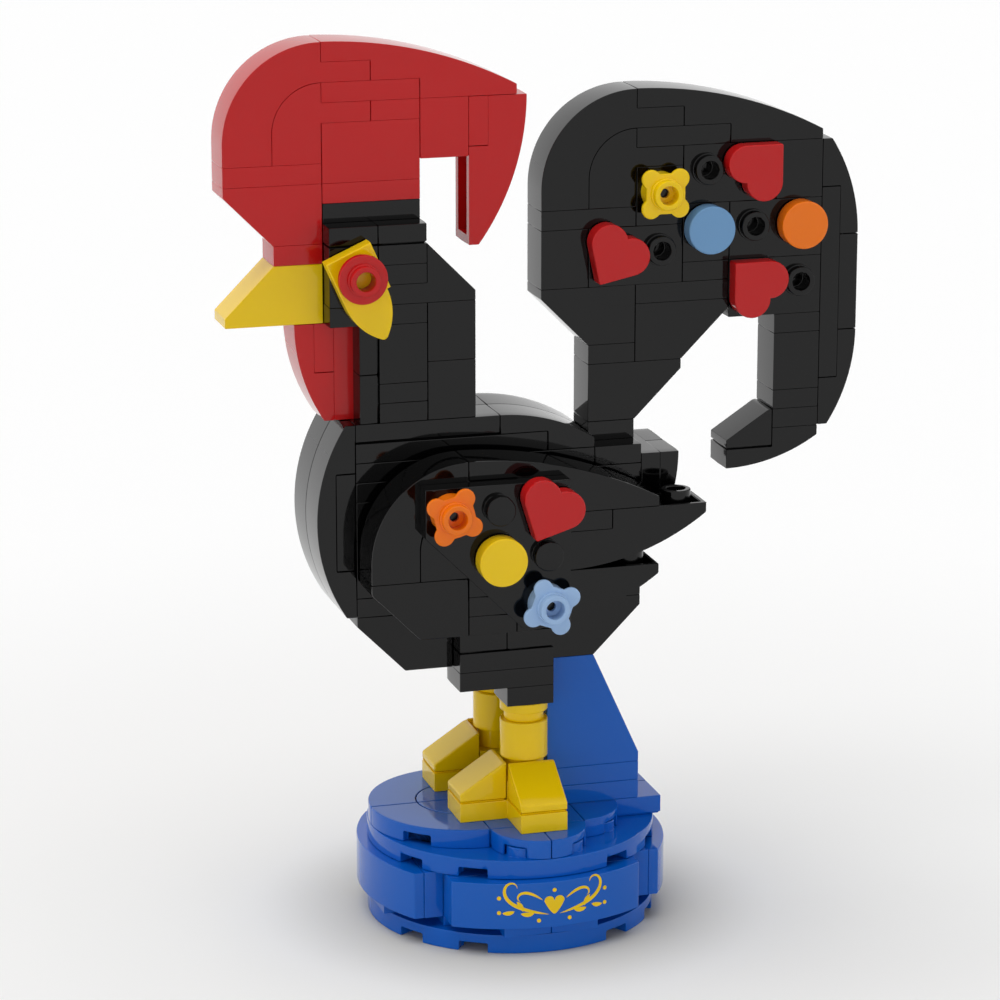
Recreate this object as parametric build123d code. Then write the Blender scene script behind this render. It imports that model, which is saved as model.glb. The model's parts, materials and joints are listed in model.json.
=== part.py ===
from build123d import *
import os
from math import atan2, degrees, sqrt

# A cockerel built from interlocking studded bricks, on a round base in two tiers.
# Frame: origin at the centre of the base's underside, +Z up, beak towards -X, tail towards +X,
# the bird's left side towards -Y. Sizes are in millimetres.

# Brick system
PITCH = 8.0  # stud spacing, the plan module of every piece
PLATE = 2 * PITCH / 5  # height of a plate: five plates stack as high as two studs are wide
HALF = PLATE / 2  # half a plate: bracket leaf, rim recess
STUD_D = 4.8
STUD_H = 1.7
BORE_D = 3.1  # hole in an open stud
BORE_DEPTH = 1.5  # how far that hole goes on below the stud
LIP = 1.6  # thin edge that slopes and bows run out to
WALL = 1.5  # wall of a hollow piece
PLAY = 0.05  # what a piece leaves free of its cell on each side
STUD_ROOM = 0.15  # clearance round a stud in a recess that does not grip it
STUD_SIDES = 12  # sides of a stud and of its hole
ROUND_SIDES = 24  # sides of a round piece one stud across

# Turning ornaments
TURN_FIT = 0.05  # radial clearance of an ornament on its stud
SEAT_GAP = 0.1  # gap behind an ornament, and over the stud in its socket
COLLAR_D = 5.25  # collar at the foot of an ornament's own stud
COLLAR_H = 0.5
HEART_INSET = 0.9  # how far a heart's square stays inside its cell on each side
HEART_SHIFT = 1.25  # stud from the middle of that square, towards the notch
HEART_TIP_R = 0.3
FLOWER_INSET = 0.5  # flower's round neck inside its cell
FLOWER_FLAT_INSET = 0.7  # straight edges between petals inside the cell
PETAL_R = 1.6
PETAL_H = 0.8
PETAL_SIDES = 12
PETAL_INSET = 0.6  # petal centres inside the cell's edge
LEAF_STEP = 0.6  # step from the leaf's square half to its pointed half, on the side towards the neck
LEAF_LENGTH = 7.5  # pointed half, without the rounding of its tip
LEAF_TIP_R = 0.8
LEAF_ANGLE = 204  # direction of the leaf's point, from straight up

# Legs, toes and base
LEG_NECK_INSET = 0.7  # waist of the round leg pieces inside their cell
TOE_TOP = 0.6  # level strip at the top of a toe slope
TOE_ROUND = 1.5  # rounding from that strip to the slope
NOTCH_TUCK = 0.6  # how much narrower a tile's rim notch is than the stud that shows in it
POST_W = 6.4  # post under the middle of the base

# Feather tips of the wings
TIP_RIM = 0.9  # rim round the recess that a tip's stud stands in
TIP_RECESS = 1.2  # depth of that recess

# Shared limits across the width, in studs
SLAB = (-0.5, 0.5)  # comb, beak and tail
BODY = (-1, 1)
LEFT_HALF = (BODY[0], 0)
RIGHT_HALF = (0, BODY[1])
WING_IN = BODY[1] + HALF / PITCH
WING = (-1 - WING_IN, -WING_IN)
WING_FACE = (WING[0] - PLATE / PITCH, WING[0])

# Directions
TO_TAIL = (1, 0, 0)
TO_BEAK = (-1, 0, 0)
TO_LEFT = (0, -1, 0)
UP = (0, 0, 1)
DOWN = (0, 0, -1)


def at(x, z, y=0):
    """Point from a place along the bird and across it in studs, and a height in plates."""
    return Vector(x * PITCH, y * PITCH, z * PLATE)


def middle(limits):
    """Middle of a pair of limits."""
    return (limits[0] + limits[1]) / 2


def brick(x0, x1, z0, z1, y=SLAB, stack="z"):
    """Brick, plate or tile between limits in studs and plates, with play on all sides but its stacking one."""
    low = at(x0, z0, y[0])
    high = at(x1, z1, y[1])
    size = high - low
    play = {axis: 0 if axis == stack else 2 * PLAY for axis in "xyz"}
    box = Box(size.X - play["x"], size.Y - play["y"], size.Z - play["z"])
    return Pos((low + high) / 2) * box


def stand(face, point, u, v, width=PITCH):
    """Profile in u and v made solid across its width, with u = v = 0 at the point, mid-width."""
    plane = Plane(origin=point, x_dir=u, z_dir=Vector(u).cross(Vector(v)))
    return extrude(plane * face, width / 2 - PLAY, both=True)


def peg(point, direction, diameter, length):
    """Stud-like round peg that starts on a face and points along a direction."""
    plane = Plane(origin=point, z_dir=direction)
    return extrude(plane * RegularPolygon(diameter / 2, STUD_SIDES), length)


def add_stud(body, point, direction, is_open=False):
    """Body with a stud on it, hollow if the stud is an open one."""
    body += peg(point, direction, STUD_D, STUD_H)
    if is_open:
        top = Vector(point) + Vector(direction) * STUD_H
        body -= peg(top, -Vector(direction), BORE_D, STUD_H + BORE_DEPTH)
    return body


def both_sides(pieces):
    """Pieces of the left side together with their mirror images."""
    return pieces + [mirror(piece, about=Plane.XZ) for piece in pieces]


# Profiles


def slope_face(length, rise, flat):
    """Straight slope: level from u = 0 as far as flat, then down to the lip at u = length."""
    far = length - PLAY
    return make_face(Polyline((PLAY, 0), (far, 0), (far, LIP), (flat, rise), (PLAY, rise), close=True))


def toe_face():
    """Short slope, two plates high, with a rounded crown."""
    face = slope_face(PITCH, 2 * PLATE, TOE_TOP)
    crown = face.vertices().group_by(Axis.Y)[-1].sort_by(Axis.X)[-1]
    return fillet(crown, TOE_ROUND)


def bow_height(u, length, rise):
    """Height of a bow's back, a circle that is level at u = 0 and meets the lip at u = length."""
    drop = rise - LIP
    radius = (length**2 + drop**2) / (2 * drop)
    return rise - radius + sqrt(radius**2 - u**2)


def bow_face(length, rise, steps):
    """Bow that is thick at u = 0. Steps give, stud by stud, how many plates its underside is raised."""
    far = length - PLAY
    back = ThreePointArc(*[(u, bow_height(u, length, rise)) for u in (PLAY, length / 2, far)])
    under = [back @ 1, (far, 0)]
    raised = list(steps) + [0]
    for count in range(len(steps), 0, -1):
        edge = count * PITCH + PLAY
        under += [(edge, raised[count] * PLATE), (edge, raised[count - 1] * PLATE)]
    under += [(PLAY, raised[0] * PLATE), back @ 0]
    return make_face(back + Polyline(*under))


def double_bow_face():
    """Bow four studs long, thick in the middle over a notch two studs wide."""
    half = 2 * PITCH
    rise = 2 * PLATE
    far = half - PLAY
    ends = bow_height(far, half, rise)
    back = ThreePointArc((-far, ends), (0, rise), (far, ends))
    edge = PITCH + PLAY
    under = Polyline(
        (far, ends), (far, 0), (edge, 0), (edge, PLATE), (-edge, PLATE), (-edge, 0), (-far, 0), (-far, ends)
    )
    return make_face(back + under)


def outer_arch_face():
    """Outer quarter arch: a leg one stud wide at u = 0, six plates tall, with a tab at its top."""
    top = 6 * PLATE
    crown = 4 * PLATE
    end = 2 * PITCH
    outside = CenterArc((end, top - end), end - PLAY, 90, 90)
    inside = CenterArc((end, crown - PITCH), PITCH, 90, 90)
    tab_end = 3 * PITCH - PLAY
    tab = Polyline(outside @ 0, (end, top - PLATE), (tab_end, top - PLATE), (tab_end, crown), inside @ 0)
    leg = Polyline(inside @ 1, (PITCH, 0), (PLAY, 0), outside @ 1)
    return make_face(outside + tab + inside + leg)


def inner_arch_face():
    """Inner quarter arch, which fills the outer one, with a tab half-way up."""
    crown = 4 * PLATE
    end = 2 * PITCH
    near = PITCH + PLAY
    outside = CenterArc((end, crown - PITCH), PITCH - PLAY, 90, 90)
    tab_end = 3 * PITCH - PLAY
    rest = Polyline(
        outside @ 0,
        (end, 3 * PLATE),
        (tab_end, 3 * PLATE),
        (tab_end, 2 * PLATE),
        (end - PLAY, 2 * PLATE),
        (end - PLAY, 0),
        (near, 0),
        outside @ 1,
    )
    return make_face(outside + rest)


def crest(x, z, y=SLAB):
    """Round crest of comb, wing and tail: outer arch, inner arch and the long curved slope behind them."""
    foot = at(x, z, middle(y))
    long_curve = bow_face(4 * PITCH, 3 * PLATE, (2, 1))
    return [
        stand(outer_arch_face(), foot, TO_TAIL, UP),
        stand(inner_arch_face(), foot, TO_TAIL, UP),
        stand(long_curve, at(x + 2, z + 3, middle(y)), TO_TAIL, UP),
    ]


def inverted_slope(x_flat, z_top, run, y=SLAB):
    """Slope turned upside down: its level underside starts at x_flat, its lip points along run."""
    width = (y[1] - y[0]) * PITCH
    return stand(slope_face(2 * PITCH, 3 * PLATE, PITCH), at(x_flat, z_top, middle(y)), run, DOWN, width)


def short_bow(point, u, v):
    """Bow two studs long with a notch of one stud under its thick end."""
    return stand(bow_face(2 * PITCH, 2 * PLATE, (1,)), point, u, v)


# Base


def base_disc(z):
    """Round plate six studs across, with recesses in its lower rim where studs would meet it."""
    radius = 3 * PITCH
    disc = Pos(at(0, z + 0.5)) * Cylinder(radius - PLAY, PLATE)
    recess = Pos(radius, 0, z * PLATE + HALF / 2) * Box(STUD_D, STUD_D, HALF)
    first = degrees(atan2(1.5, 2.5))
    for turn in range(4):
        for angle in (first, 90 - first):
            disc -= Rot(0, 0, 90 * turn + angle) * recess
    return disc


def quarter_tile(centre, quadrant, outer, inner, notch=None):
    """Quarter of a round tile or, with an inner radius, of a ring tile. Radii and notch place in studs."""
    ring = Circle(outer * PITCH - PLAY)
    if inner:
        ring -= Circle(inner * PITCH + PLAY)
    reach = outer * PITCH
    corner = Pos(PLAY + reach / 2, PLAY + reach / 2) * Rectangle(reach, reach)
    tile = extrude(ring & corner, PLATE)
    if notch:
        spot = Pos(notch * PITCH, notch * PITCH) * Rot(0, 0, 45)
        room = STUD_D + 2 * STUD_ROOM
        depth = STUD_H + STUD_ROOM
        tile -= spot * Pos(-STUD_D / 8, 0, depth / 2) * Box(room - STUD_D / 4, room, depth)
        tile -= spot * Pos(PITCH / 2, 0, depth / 2) * Box(PITCH, STUD_D - NOTCH_TUCK, depth)
    return Pos(at(centre[0], 5, centre[1])) * Rot(0, 0, 90 * quadrant) * tile


def base():
    """Round base: two discs, a square core with curved panels between them, and tiles on top."""
    pocket = 4 * PITCH - 2 * WALL
    bottom = base_disc(0)
    bottom -= Pos(at(0, 0.25)) * (Box(pocket, pocket, HALF) - Box(POST_W, POST_W, HALF))
    top = base_disc(4)
    for x, y in ((0.5, 2.5), (-0.5, 2.5), (1.5, 1.5)):
        for side in (-1, 1):
            top = add_stud(top, at(x, 5, side * y), UP)

    core = [brick(x, x + 2, 1, 4, y) for x in (-2, 0) for y in ((-2, 0), (0, 2))]
    panel_low = 1.5
    panel_high = panel_low + PITCH / PLATE
    skin = 2 + PLATE / PITCH
    panel = stand(double_bow_face(), at(0, (panel_low + panel_high) / 2, -skin), TO_TAIL, TO_LEFT)
    backing = brick(-2, 2, panel_low, panel_high, (-skin, -2), stack="y")
    ledges = [brick(x, x + 1, 1, panel_low, (-3, -2)) for x in (-1, 0)]
    quarter_turns = [Rot(0, 0, 90 * turn) for turn in range(4)]

    tiles = [
        quarter_tile((-1, 0), 2, 2, 1, notch=1.5),
        quarter_tile((-1, 0), 2, 1, 0),
        quarter_tile((0, -2), 2, 1, 0, notch=0.5),
        quarter_tile((0, -2), 3, 1, 0, notch=0.5),
        quarter_tile((1, -1), 3, 1, 0, notch=0.5),
    ]
    jumpers = both_sides([brick(-1, 1, 5, 6, (-2, 0)), brick(1, 3, 5, 6, LEFT_HALF)])
    return {
        "base_bottom_disc": [bottom],
        "base_core": core + [turn * piece for turn in quarter_turns for piece in [backing] + ledges],
        "base_curved_panels": [turn * panel for turn in quarter_turns],
        "base_top_disc": [top],
        "base_rim_tiles": both_sides(tiles),
        "base_jumper_plates": jumpers,
    }


# Legs and the support behind them


def legs():
    """Yellow feet and legs of both sides, and the blue support that takes the weight behind them."""
    foot_cell = (-1.5, -0.5)
    foot = brick(-1.5, 0.5, 6, 7, foot_cell) + brick(-0.5, 0.5, 6, 7, (-2.5, -0.5))
    toe = toe_face()
    toes = [
        stand(toe, at(-0.5, 7, -1), TO_BEAK, UP),
        stand(toe, at(0, 7, -1.5), TO_LEFT, UP),
    ]
    full = RegularPolygon(PITCH / 2 - PLAY, ROUND_SIDES)
    waist = RegularPolygon(PITCH / 2 - LEG_NECK_INSET, ROUND_SIDES)
    ankle = brick(-0.5, 0.5, 7, 8, foot_cell)
    shin = Pos(at(0, 8, -1)) * extrude(waist, PLATE) + Pos(at(0, 9, -1)) * extrude(full, 2 * PLATE)
    knee = Pos(at(0, 11, -1)) * extrude(waist, HALF) + Pos(at(0, 11.5, -1)) * extrude(full, HALF)
    support = stand(slope_face(2 * PITCH, 6 * PLATE, PITCH), at(0.5, 8), TO_TAIL, UP, 2 * PITCH)
    return {
        "foot_plates": both_sides([foot]),
        "toe_slopes": both_sides(toes),
        "leg_columns": both_sides([ankle, shin, knee]),
        "rear_support": [brick(0.5, 2.5, 6, 7, BODY), brick(0.5, 2.5, 7, 8, BODY), support],
    }


# Body


def body():
    """Hips, belly, trunk, chest and back."""
    hips = both_sides(
        [
            brick(-0.5, 0.5, 12, 13, (-1.5, -0.5)),
            brick(-1.5, 0.5, 13, 14, (-1.5, -0.5)),
            brick(-1.5, -0.5, 15, 16, (-1.5, -0.5)),
            brick(-0.5, 0.5, 15, 16, (-1.5, -0.5)),
        ]
    )
    hips += [brick(-1.5, 0.5, 14, 15, (-1.5, 1.5)), brick(-1.5, 0.5, 15, 16), brick(-1.5, 0.5, 16, 17, BODY)]
    belly = [inverted_slope(-1.5, 17, TO_BEAK, BODY), inverted_slope(0.5, 17, TO_TAIL, BODY)]

    plates = [
        brick(-3.5, 2.5, 17, 18, BODY),
        brick(-3.5, -1.5, 21, 22, BODY),
        brick(0.5, 2.5, 21, 22, BODY),
        brick(-3.5, 2.5, 22, 23, BODY),
        brick(-3.5, 2.5, 23, 24, BODY),
        brick(-3.5, 1.5, 24, 25, BODY),
        brick(1.5, 2.5, 24, 25, BODY),
        brick(-3.5, 0.5, 25, 26, BODY),
        brick(-3.5, -0.5, 26, 27, LEFT_HALF),
        brick(-3.5, -0.5, 26, 27, RIGHT_HALF),
    ]
    bricks = [brick(-3.5, -0.5, 18, 21, BODY), brick(-0.5, 2.5, 18, 21, BODY)]

    chest_back = -3.5
    chest = [
        stand(double_bow_face(), at(chest_back, 22, middle(half)), UP, TO_BEAK)
        for half in (LEFT_HALF, RIGHT_HALF)
    ]
    chest += [brick(chest_back - PLATE / PITCH, chest_back, 19.5, 24.5, BODY, stack="x")]
    back = []
    for half in (LEFT_HALF, RIGHT_HALF):
        back += [short_bow(at(-0.5, 25, middle(half)), TO_TAIL, UP)]
        back += [short_bow(at(2.5, 24.5, middle(half)), DOWN, TO_TAIL)]
    back += [brick(2.5, 2.5 + PLATE / PITCH, 22, 24.5, BODY, stack="x")]
    return {
        "hip_plates": hips,
        "belly_slopes": belly,
        "body_plates": plates,
        "body_bricks": bricks,
        "chest_curves": chest,
        "back_curves": back,
    }


# Wings


def wing_tip(x, z):
    """Feather tip: an inverted curved slope with an open stud in a recess, free of a stud under it."""
    y = middle(WING)
    tip = stand(bow_face(3 * PITCH, 3 * PLATE, (1,)), at(x, z, y), TO_TAIL, DOWN)
    room = STUD_D + 2 * STUD_ROOM
    tip -= Pos(at(x + 1.5, z - 3, y)) * Box(room, room, 2 * (STUD_H + STUD_ROOM))
    end = at(x + 2.5, z, y)
    inside = PITCH - 2 * TIP_RIM
    tip -= Pos(end) * Box(inside, inside, 2 * TIP_RECESS)
    tip += peg(end, DOWN, STUD_D, TIP_RECESS)
    return add_stud(tip, end, UP, is_open=True)


def wings():
    """Both wings: a crest with two feather tips, carried by a bracket, with a cut-corner plate outside."""
    outer, inner, long_curve = crest(-3.5, 19.5, WING)
    bracket = brick(-1.5, 0.5, 21, 22, (-WING_IN, 0)) + brick(-1.5, 0.5, 17, 22, (-WING_IN, -1), stack="y")
    corners = [(-2.5, 24.5), (0.5, 24.5), (0.5, 17), (-0.5, 17), (-2.5, 22)]
    outline = Polyline(*[(x * PITCH, z * PLATE) for x, z in corners], close=True)
    face_y = WING_FACE[1] * PITCH
    plate = Plane(origin=(0, face_y, 0), x_dir=TO_TAIL, z_dir=TO_LEFT) * make_face(outline)
    plate = extrude(plate, PLATE)
    for x, z in ((-2, 23.25), (-1, 23.25), (0, 23.25), (-1, 20.75), (0, 20.75), (0, 18.25)):
        plate = add_stud(plate, at(x, z, WING_FACE[0]), TO_LEFT)
    plates = [
        brick(-1.5, -0.5, 16.5, 17.5, WING),
        brick(-1.5, -0.5, 17.5, 18.5, WING),
        brick(-1.5, 0.5, 18.5, 19.5, WING),
        brick(-1.5, 0.5, 19.5, 20.5, WING),
        brick(-1.5, 0.5, 20.5, 21.5, WING),
        brick(-0.5, 1.5, 21.5, 22.5, WING),
        brick(-1.5, 0.5, 22.5, 23.5, WING),
    ]
    front = inverted_slope(-1.5, 19.5, TO_BEAK, WING)
    return {
        "wing_arches": both_sides([outer, inner]),
        "wing_curves": both_sides([long_curve, wing_tip(0.5, 22.5), wing_tip(-0.5, 19.5), front]),
        "wing_plates": both_sides(plates),
        "wing_brackets": both_sides([bracket]),
        "wing_corner_plates": both_sides([plate]),
    }


# Neck, head, beak and wattle


def neck_and_head():
    """Neck and head, with the beak in front and the wattle on the throat."""
    bricks = [brick(-3, -2, 29, 32, BODY), brick(-2, -1, 30, 33, BODY), brick(-2, -1, 27, 30, BODY)]
    far = 2 * PITCH - PLAY
    top = 3 * PLATE
    nape = Polyline(
        (PLAY, 0), (far, 0), (far, LIP), (PITCH, top), (PITCH, PLATE), (PLAY, PLATE), close=True
    )
    bricks += [stand(make_face(nape), at(-3, 33), TO_TAIL, UP, 2 * PITCH)]
    throat = -3 - PLATE / PITCH
    plates = [
        brick(-3, -2, 27, 28, BODY),
        brick(-3, -2, 28, 29, BODY),
        brick(-4, -2, 32, 33, BODY),
        brick(-3, -2, 34, 35, BODY),
        brick(-3, -2, 35, 36, BODY),
        brick(-4, -3, 36, 37, BODY),
        brick(-3, -2, 36, 37, BODY),
        brick(throat, -3, 27, 29.5, BODY, stack="x"),
        brick(throat, -3, 29.5, 32, BODY, stack="x"),
    ]
    head = brick(-4, -3, 33, 36, BODY)
    for side in (-1, 1):
        wall = Vector(0, side * (BODY[1] * PITCH - PLAY), 0)
        head = add_stud(head, at(-3.5, 34.75) + wall, (0, side, 0))

    beak = stand(slope_face(2 * PITCH, 3 * PLATE, PITCH), at(-4, 32), TO_BEAK, UP)
    hang = throat - PLATE / PITCH
    wattle = [
        brick(hang, throat, 27, 32, stack="x"),
        brick(hang - PLATE / PITCH, hang, 29.5, 32, stack="x"),
        short_bow(at(hang, 32), DOWN, TO_BEAK),
    ]
    return {
        "neck_bricks": bricks,
        "neck_plates": plates,
        "head_brick": [head],
        "beak": [beak],
        "wattle": wattle,
    }


# Comb


def comb():
    """Red comb: a crest over the head that ends in a curved slope hanging down behind."""
    outer, inner, long_curve = crest(-6, 40)
    droop = stand(bow_face(3 * PITCH, 3 * PLATE, (1,)), at(-1, 43), DOWN, TO_TAIL)
    droop -= Pos(at(-1, 38)) * Box(PLATE, PITCH - 2 * WALL, 2 * PITCH - 2 * WALL)
    plates = [
        brick(-5, -4, 35, 36),
        brick(-6, -4, 39, 40),
        brick(-4, -2, 38, 39),
        brick(-3, -2, 42, 43),
        brick(-4, -2, 43, 44),
        brick(-1, -1 + PLATE / PITCH, 40.5, 43, stack="x"),
    ]
    bricks = [brick(-4, -2, 39, 42), brick(-2, -1, 40, 43), inverted_slope(-4, 39, TO_BEAK)]
    return {
        "comb_arches": [outer, inner],
        "comb_curves": [long_curve, droop],
        "comb_plates": plates,
        "comb_bricks": bricks,
        "comb_seat_plate": [brick(-4, -2, 37, 38)],
    }


# Tail


def stud_brick(x0, x1, z0, open_at=()):
    """Tail brick with a stud on both sides of each stud length, those at open_at hollow."""
    piece = brick(x0, x1, z0, z0 + 3)
    height = z0 + 3 - PITCH / 2 / PLATE
    for count in range(round(x1 - x0)):
        x = x0 + 0.5 + count
        for side in (-1, 1):
            wall = Vector(0, side * (PITCH / 2 - PLAY), 0)
            piece = add_stud(piece, at(x, height) + wall, (0, side, 0), x in open_at)
    return piece


def tail():
    """Tail: a tall crest on a stepped stem, with a hanging feather and a curved rear edge."""
    outer, inner, long_curve = crest(0.5, 37)
    edge = 6.5
    strip = PLATE / PITCH
    small_slope = stand(toe_face(), at(5.5, 24), TO_BEAK, UP)
    curves = [
        long_curve,
        short_bow(at(4.5, 25), TO_TAIL, DOWN),
        short_bow(at(edge, 35), UP, TO_TAIL),
        short_bow(at(edge, 30), DOWN, TO_TAIL),
    ]
    bricks = [
        brick(0.5, 1.5, 33, 36),
        stud_brick(1.5, 3.5, 33, open_at=(3,)),
        stud_brick(2.5, 3.5, 36),
        stud_brick(3.5, 5.5, 37, open_at=(4,)),
        brick(5.5, 6.5, 37, 40),
        stud_brick(3.5, 4.5, 34),
        stud_brick(4.5, 6.5, 34, open_at=(5,)),
        stud_brick(4.5, 6.5, 31, open_at=(6,)),
        brick(5.5, 6.5, 27, 30),
    ]
    plates = [
        brick(2.5, 4.5, 40, 41),
        brick(0.5, 2.5, 36, 37),
        brick(3.5, 4.5, 33, 34),
        brick(2.5, 4.5, 32, 33),
        brick(1.5, 2.5, 29, 30),
        brick(1.5, 2.5, 25, 26),
        brick(5.5, 6.5, 30, 31),
        brick(5.5, 6.5, 26, 27),
        brick(5.5, 6.5, 25, 26),
        brick(edge, edge + strip, 27.5, 37.5, stack="x"),
        brick(edge + strip, edge + 2 * strip, 30, 35, stack="x"),
    ]
    slopes = [
        inverted_slope(2.5, 33, TO_BEAK),
        inverted_slope(2.5, 32, TO_TAIL),
        inverted_slope(1.5, 29, TO_TAIL),
        small_slope,
    ]
    return {
        "tail_arches": [outer, inner],
        "tail_curves": curves,
        "tail_bricks": bricks,
        "tail_plates": plates,
        "tail_slopes": slopes,
    }


# Ornaments, drawn with the stud's axis on Z and the wall at Z = 0


def socketed(outline):
    """Flat ornament with the outline, lifted off the wall, with a socket for the stud behind it."""
    plate = Pos(0, 0, SEAT_GAP) * extrude(outline, PLATE - SEAT_GAP)
    depth = STUD_H + SEAT_GAP
    room = STUD_D + 2 * TURN_FIT
    return plate - Box(room, room, 2 * depth)


def bored(plate):
    """Ornament with an open stud on its face, bored through to its socket."""
    plate += peg((0, 0, PLATE), UP, COLLAR_D, COLLAR_H)
    plate += peg((0, 0, PLATE), UP, STUD_D, STUD_H)
    return plate - peg((0, 0, 0), UP, BORE_D, PLATE + STUD_H)


def disc():
    """Round plate with a smooth face."""
    return socketed(RegularPolygon(PITCH / 2 - PLAY, ROUND_SIDES))


def heart():
    """Heart whose notch points along Y: a square on its corner with a half round on each upper side."""
    side = PITCH - 2 * HEART_INSET
    centre = Pos(0, -HEART_SHIFT) * Rot(0, 0, 45)
    outline = centre * Rectangle(side, side)
    tip = outline.vertices().sort_by(Axis.Y)[0]
    outline = fillet(tip, HEART_TIP_R)
    for lobe in ((side / 2, 0), (0, side / 2)):
        outline += centre * Pos(*lobe) * Circle(side / 2)
    return socketed(outline)


def flower():
    """Four petals round an open stud, bored through."""
    neck = RegularPolygon(PITCH / 2 - FLOWER_INSET, STUD_SIDES)
    across = PITCH - 2 * FLOWER_FLAT_INSET
    petals = Rot(0, 0, 45) * Rectangle(across, across)
    for turn in range(4):
        spot = Rot(0, 0, 90 * turn) * Pos(PITCH / 2 - PETAL_INSET, 0)
        petals += spot * RegularPolygon(PETAL_R, PETAL_SIDES)
    head = Pos(0, 0, PLATE - PETAL_H) * extrude(petals, PETAL_H)
    return bored(socketed(neck) + head)


def eye_leaf():
    """Leaf with a square half on its stud, a pointed half along Y, and a stud on its face."""
    half = PITCH / 2 - PLAY
    shoulder = PITCH / 2
    waist = half - LEAF_STEP / 2
    plain_side = (half, shoulder)
    step_side = (half - 2 * waist, shoulder)
    tip = (half - waist, shoulder + LEAF_LENGTH)
    radius = (waist**2 + LEAF_LENGTH**2) / (2 * waist)
    sides = [RadiusArc(tip, plain_side, radius), RadiusArc(step_side, tip, radius)]
    outline = make_face(sides + [Line(step_side, plain_side)])
    outline = fillet(outline.vertices().sort_by(Axis.Y)[-1], LEAF_TIP_R)
    outline += Rectangle(2 * half, PITCH)
    return add_stud(socketed(outline), (0, 0, PLATE), UP)


def eye_ring():
    """Round plate with an open stud, bored through, that stands on the leaf's stud."""
    return bored(disc())


def ornaments():
    """All turning ornaments of the left side, each by itself, and their mirror images on the right."""
    tail_wall = PITCH / 2 - PLAY
    wing_wall = -WING_FACE[0] * PITCH
    head_wall = BODY[1] * PITCH - PLAY
    layout = {
        "tail_yellow_flower": (flower(), 3, 37.75, tail_wall, 45),
        "tail_sky_disc": (disc(), 4, 35.75, tail_wall, 0),
        "tail_orange_disc": (disc(), 6, 35.75, tail_wall, 0),
        "tail_upper_heart": (heart(), 5, 38.75, tail_wall, 135),
        "tail_front_heart": (heart(), 2, 34.75, tail_wall, -33),
        "tail_lower_heart": (heart(), 5, 32.75, tail_wall, 225),
        "wing_orange_flower": (flower(), -2, 23.25, wing_wall, 68),
        "wing_sky_flower": (flower(), 0, 18.25, wing_wall, 23),
        "wing_yellow_disc": (disc(), -1, 20.75, wing_wall, 0),
        "wing_heart": (heart(), 0, 23.25, wing_wall, -28),
        "eye_leaf": (eye_leaf(), -3.5, 34.75, head_wall, LEAF_ANGLE),
        "eye_ring": (eye_ring(), -3.5, 34.75, head_wall + PLATE, 0),
    }
    nodes = {}
    for name, (piece, x, z, wall, angle) in layout.items():
        plane = Plane(origin=at(x, z) + Vector(0, -wall, 0), x_dir=TO_TAIL, z_dir=TO_LEFT)
        left = plane * Rot(0, 0, angle) * piece
        nodes[name + "_left"] = [left]
        nodes[name + "_right"] = [mirror(left, about=Plane.XZ)]
    return nodes


os.makedirs("parts", exist_ok=True)
for assembly in (base, legs, body, wings, neck_and_head, comb, tail, ornaments):
    for node, pieces in assembly().items():
        solids = [solid for piece in pieces for solid in piece.solids()]
        export_step(Compound(solids), f"parts/{node}.step")
        print(node, len(solids), "solids")
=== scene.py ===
"""Looks of a brick-built cockerel ornament that stands on a round base in two tiers.

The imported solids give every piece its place. Groups of moulded bricks are copied from their solids and get
rounded edges and foot grooves. Studs, legs, flowers, hearts, discs and eyes are modelled anew at the places
of the solids. All sizes are in metres, with +Z up, the beak towards -X and the bird's left side towards -Y.
"""

import json
import logging
import math
from collections.abc import Callable, Iterable, Sequence
from dataclasses import dataclass, field
from enum import Enum
from typing import ClassVar

import bmesh
import bpy
from mathutils import Matrix, Vector


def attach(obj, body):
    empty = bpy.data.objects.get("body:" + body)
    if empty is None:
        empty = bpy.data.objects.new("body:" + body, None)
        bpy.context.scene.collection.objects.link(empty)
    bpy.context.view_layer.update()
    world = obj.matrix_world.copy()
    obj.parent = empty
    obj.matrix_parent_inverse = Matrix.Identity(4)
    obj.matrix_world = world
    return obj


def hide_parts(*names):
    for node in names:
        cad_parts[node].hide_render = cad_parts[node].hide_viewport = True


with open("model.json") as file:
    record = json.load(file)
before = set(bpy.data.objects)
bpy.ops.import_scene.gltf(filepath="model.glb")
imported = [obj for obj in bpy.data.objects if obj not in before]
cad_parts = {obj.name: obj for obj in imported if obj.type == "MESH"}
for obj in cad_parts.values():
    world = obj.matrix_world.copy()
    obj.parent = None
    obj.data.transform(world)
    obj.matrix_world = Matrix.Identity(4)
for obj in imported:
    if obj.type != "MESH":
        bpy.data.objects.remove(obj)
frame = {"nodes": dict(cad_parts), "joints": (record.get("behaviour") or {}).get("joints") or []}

LOG = logging.getLogger("cockerel")
ROOT_BODY = "bird"

# The brick system: stud spacing, plate height, studs with bores and collars, and the play at each side.
MM = 0.001
PITCH = 8.0 * MM
PLATE = 3.2 * MM
STUD_R = 2.4 * MM
STUD_H = 1.7 * MM
BORE_R = 1.5 * MM
BORE_DEPTH = 1.5 * MM
COLLAR_R = 2.625 * MM
COLLAR_H = 0.5 * MM
PLAY = 0.05 * MM

# How far new faces stand clear of solids, the gap under an ornament, and how close two points are one.
SKIN = 0.005 * MM
SEAT_GAP = 0.1 * MM
WELD = 0.0005 * MM

# Edges sharper than the first stay edges. Those flatter than the others vanish, in solids and outlines.
SMOOTH_ANGLE = math.radians(40)
FLAT_ANGLE = math.radians(0.5)
OUTLINE_ANGLE = math.radians(0.1)

# Cosine over which a face counts as facing a direction.
ALIGNED = 0.99

UP = Vector((0, 0, 1))
DOWN = Vector((0, 0, -1))
TO_TAIL = Vector((1, 0, 0))
WHITE = (1.0, 1.0, 1.0, 1.0)

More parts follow.
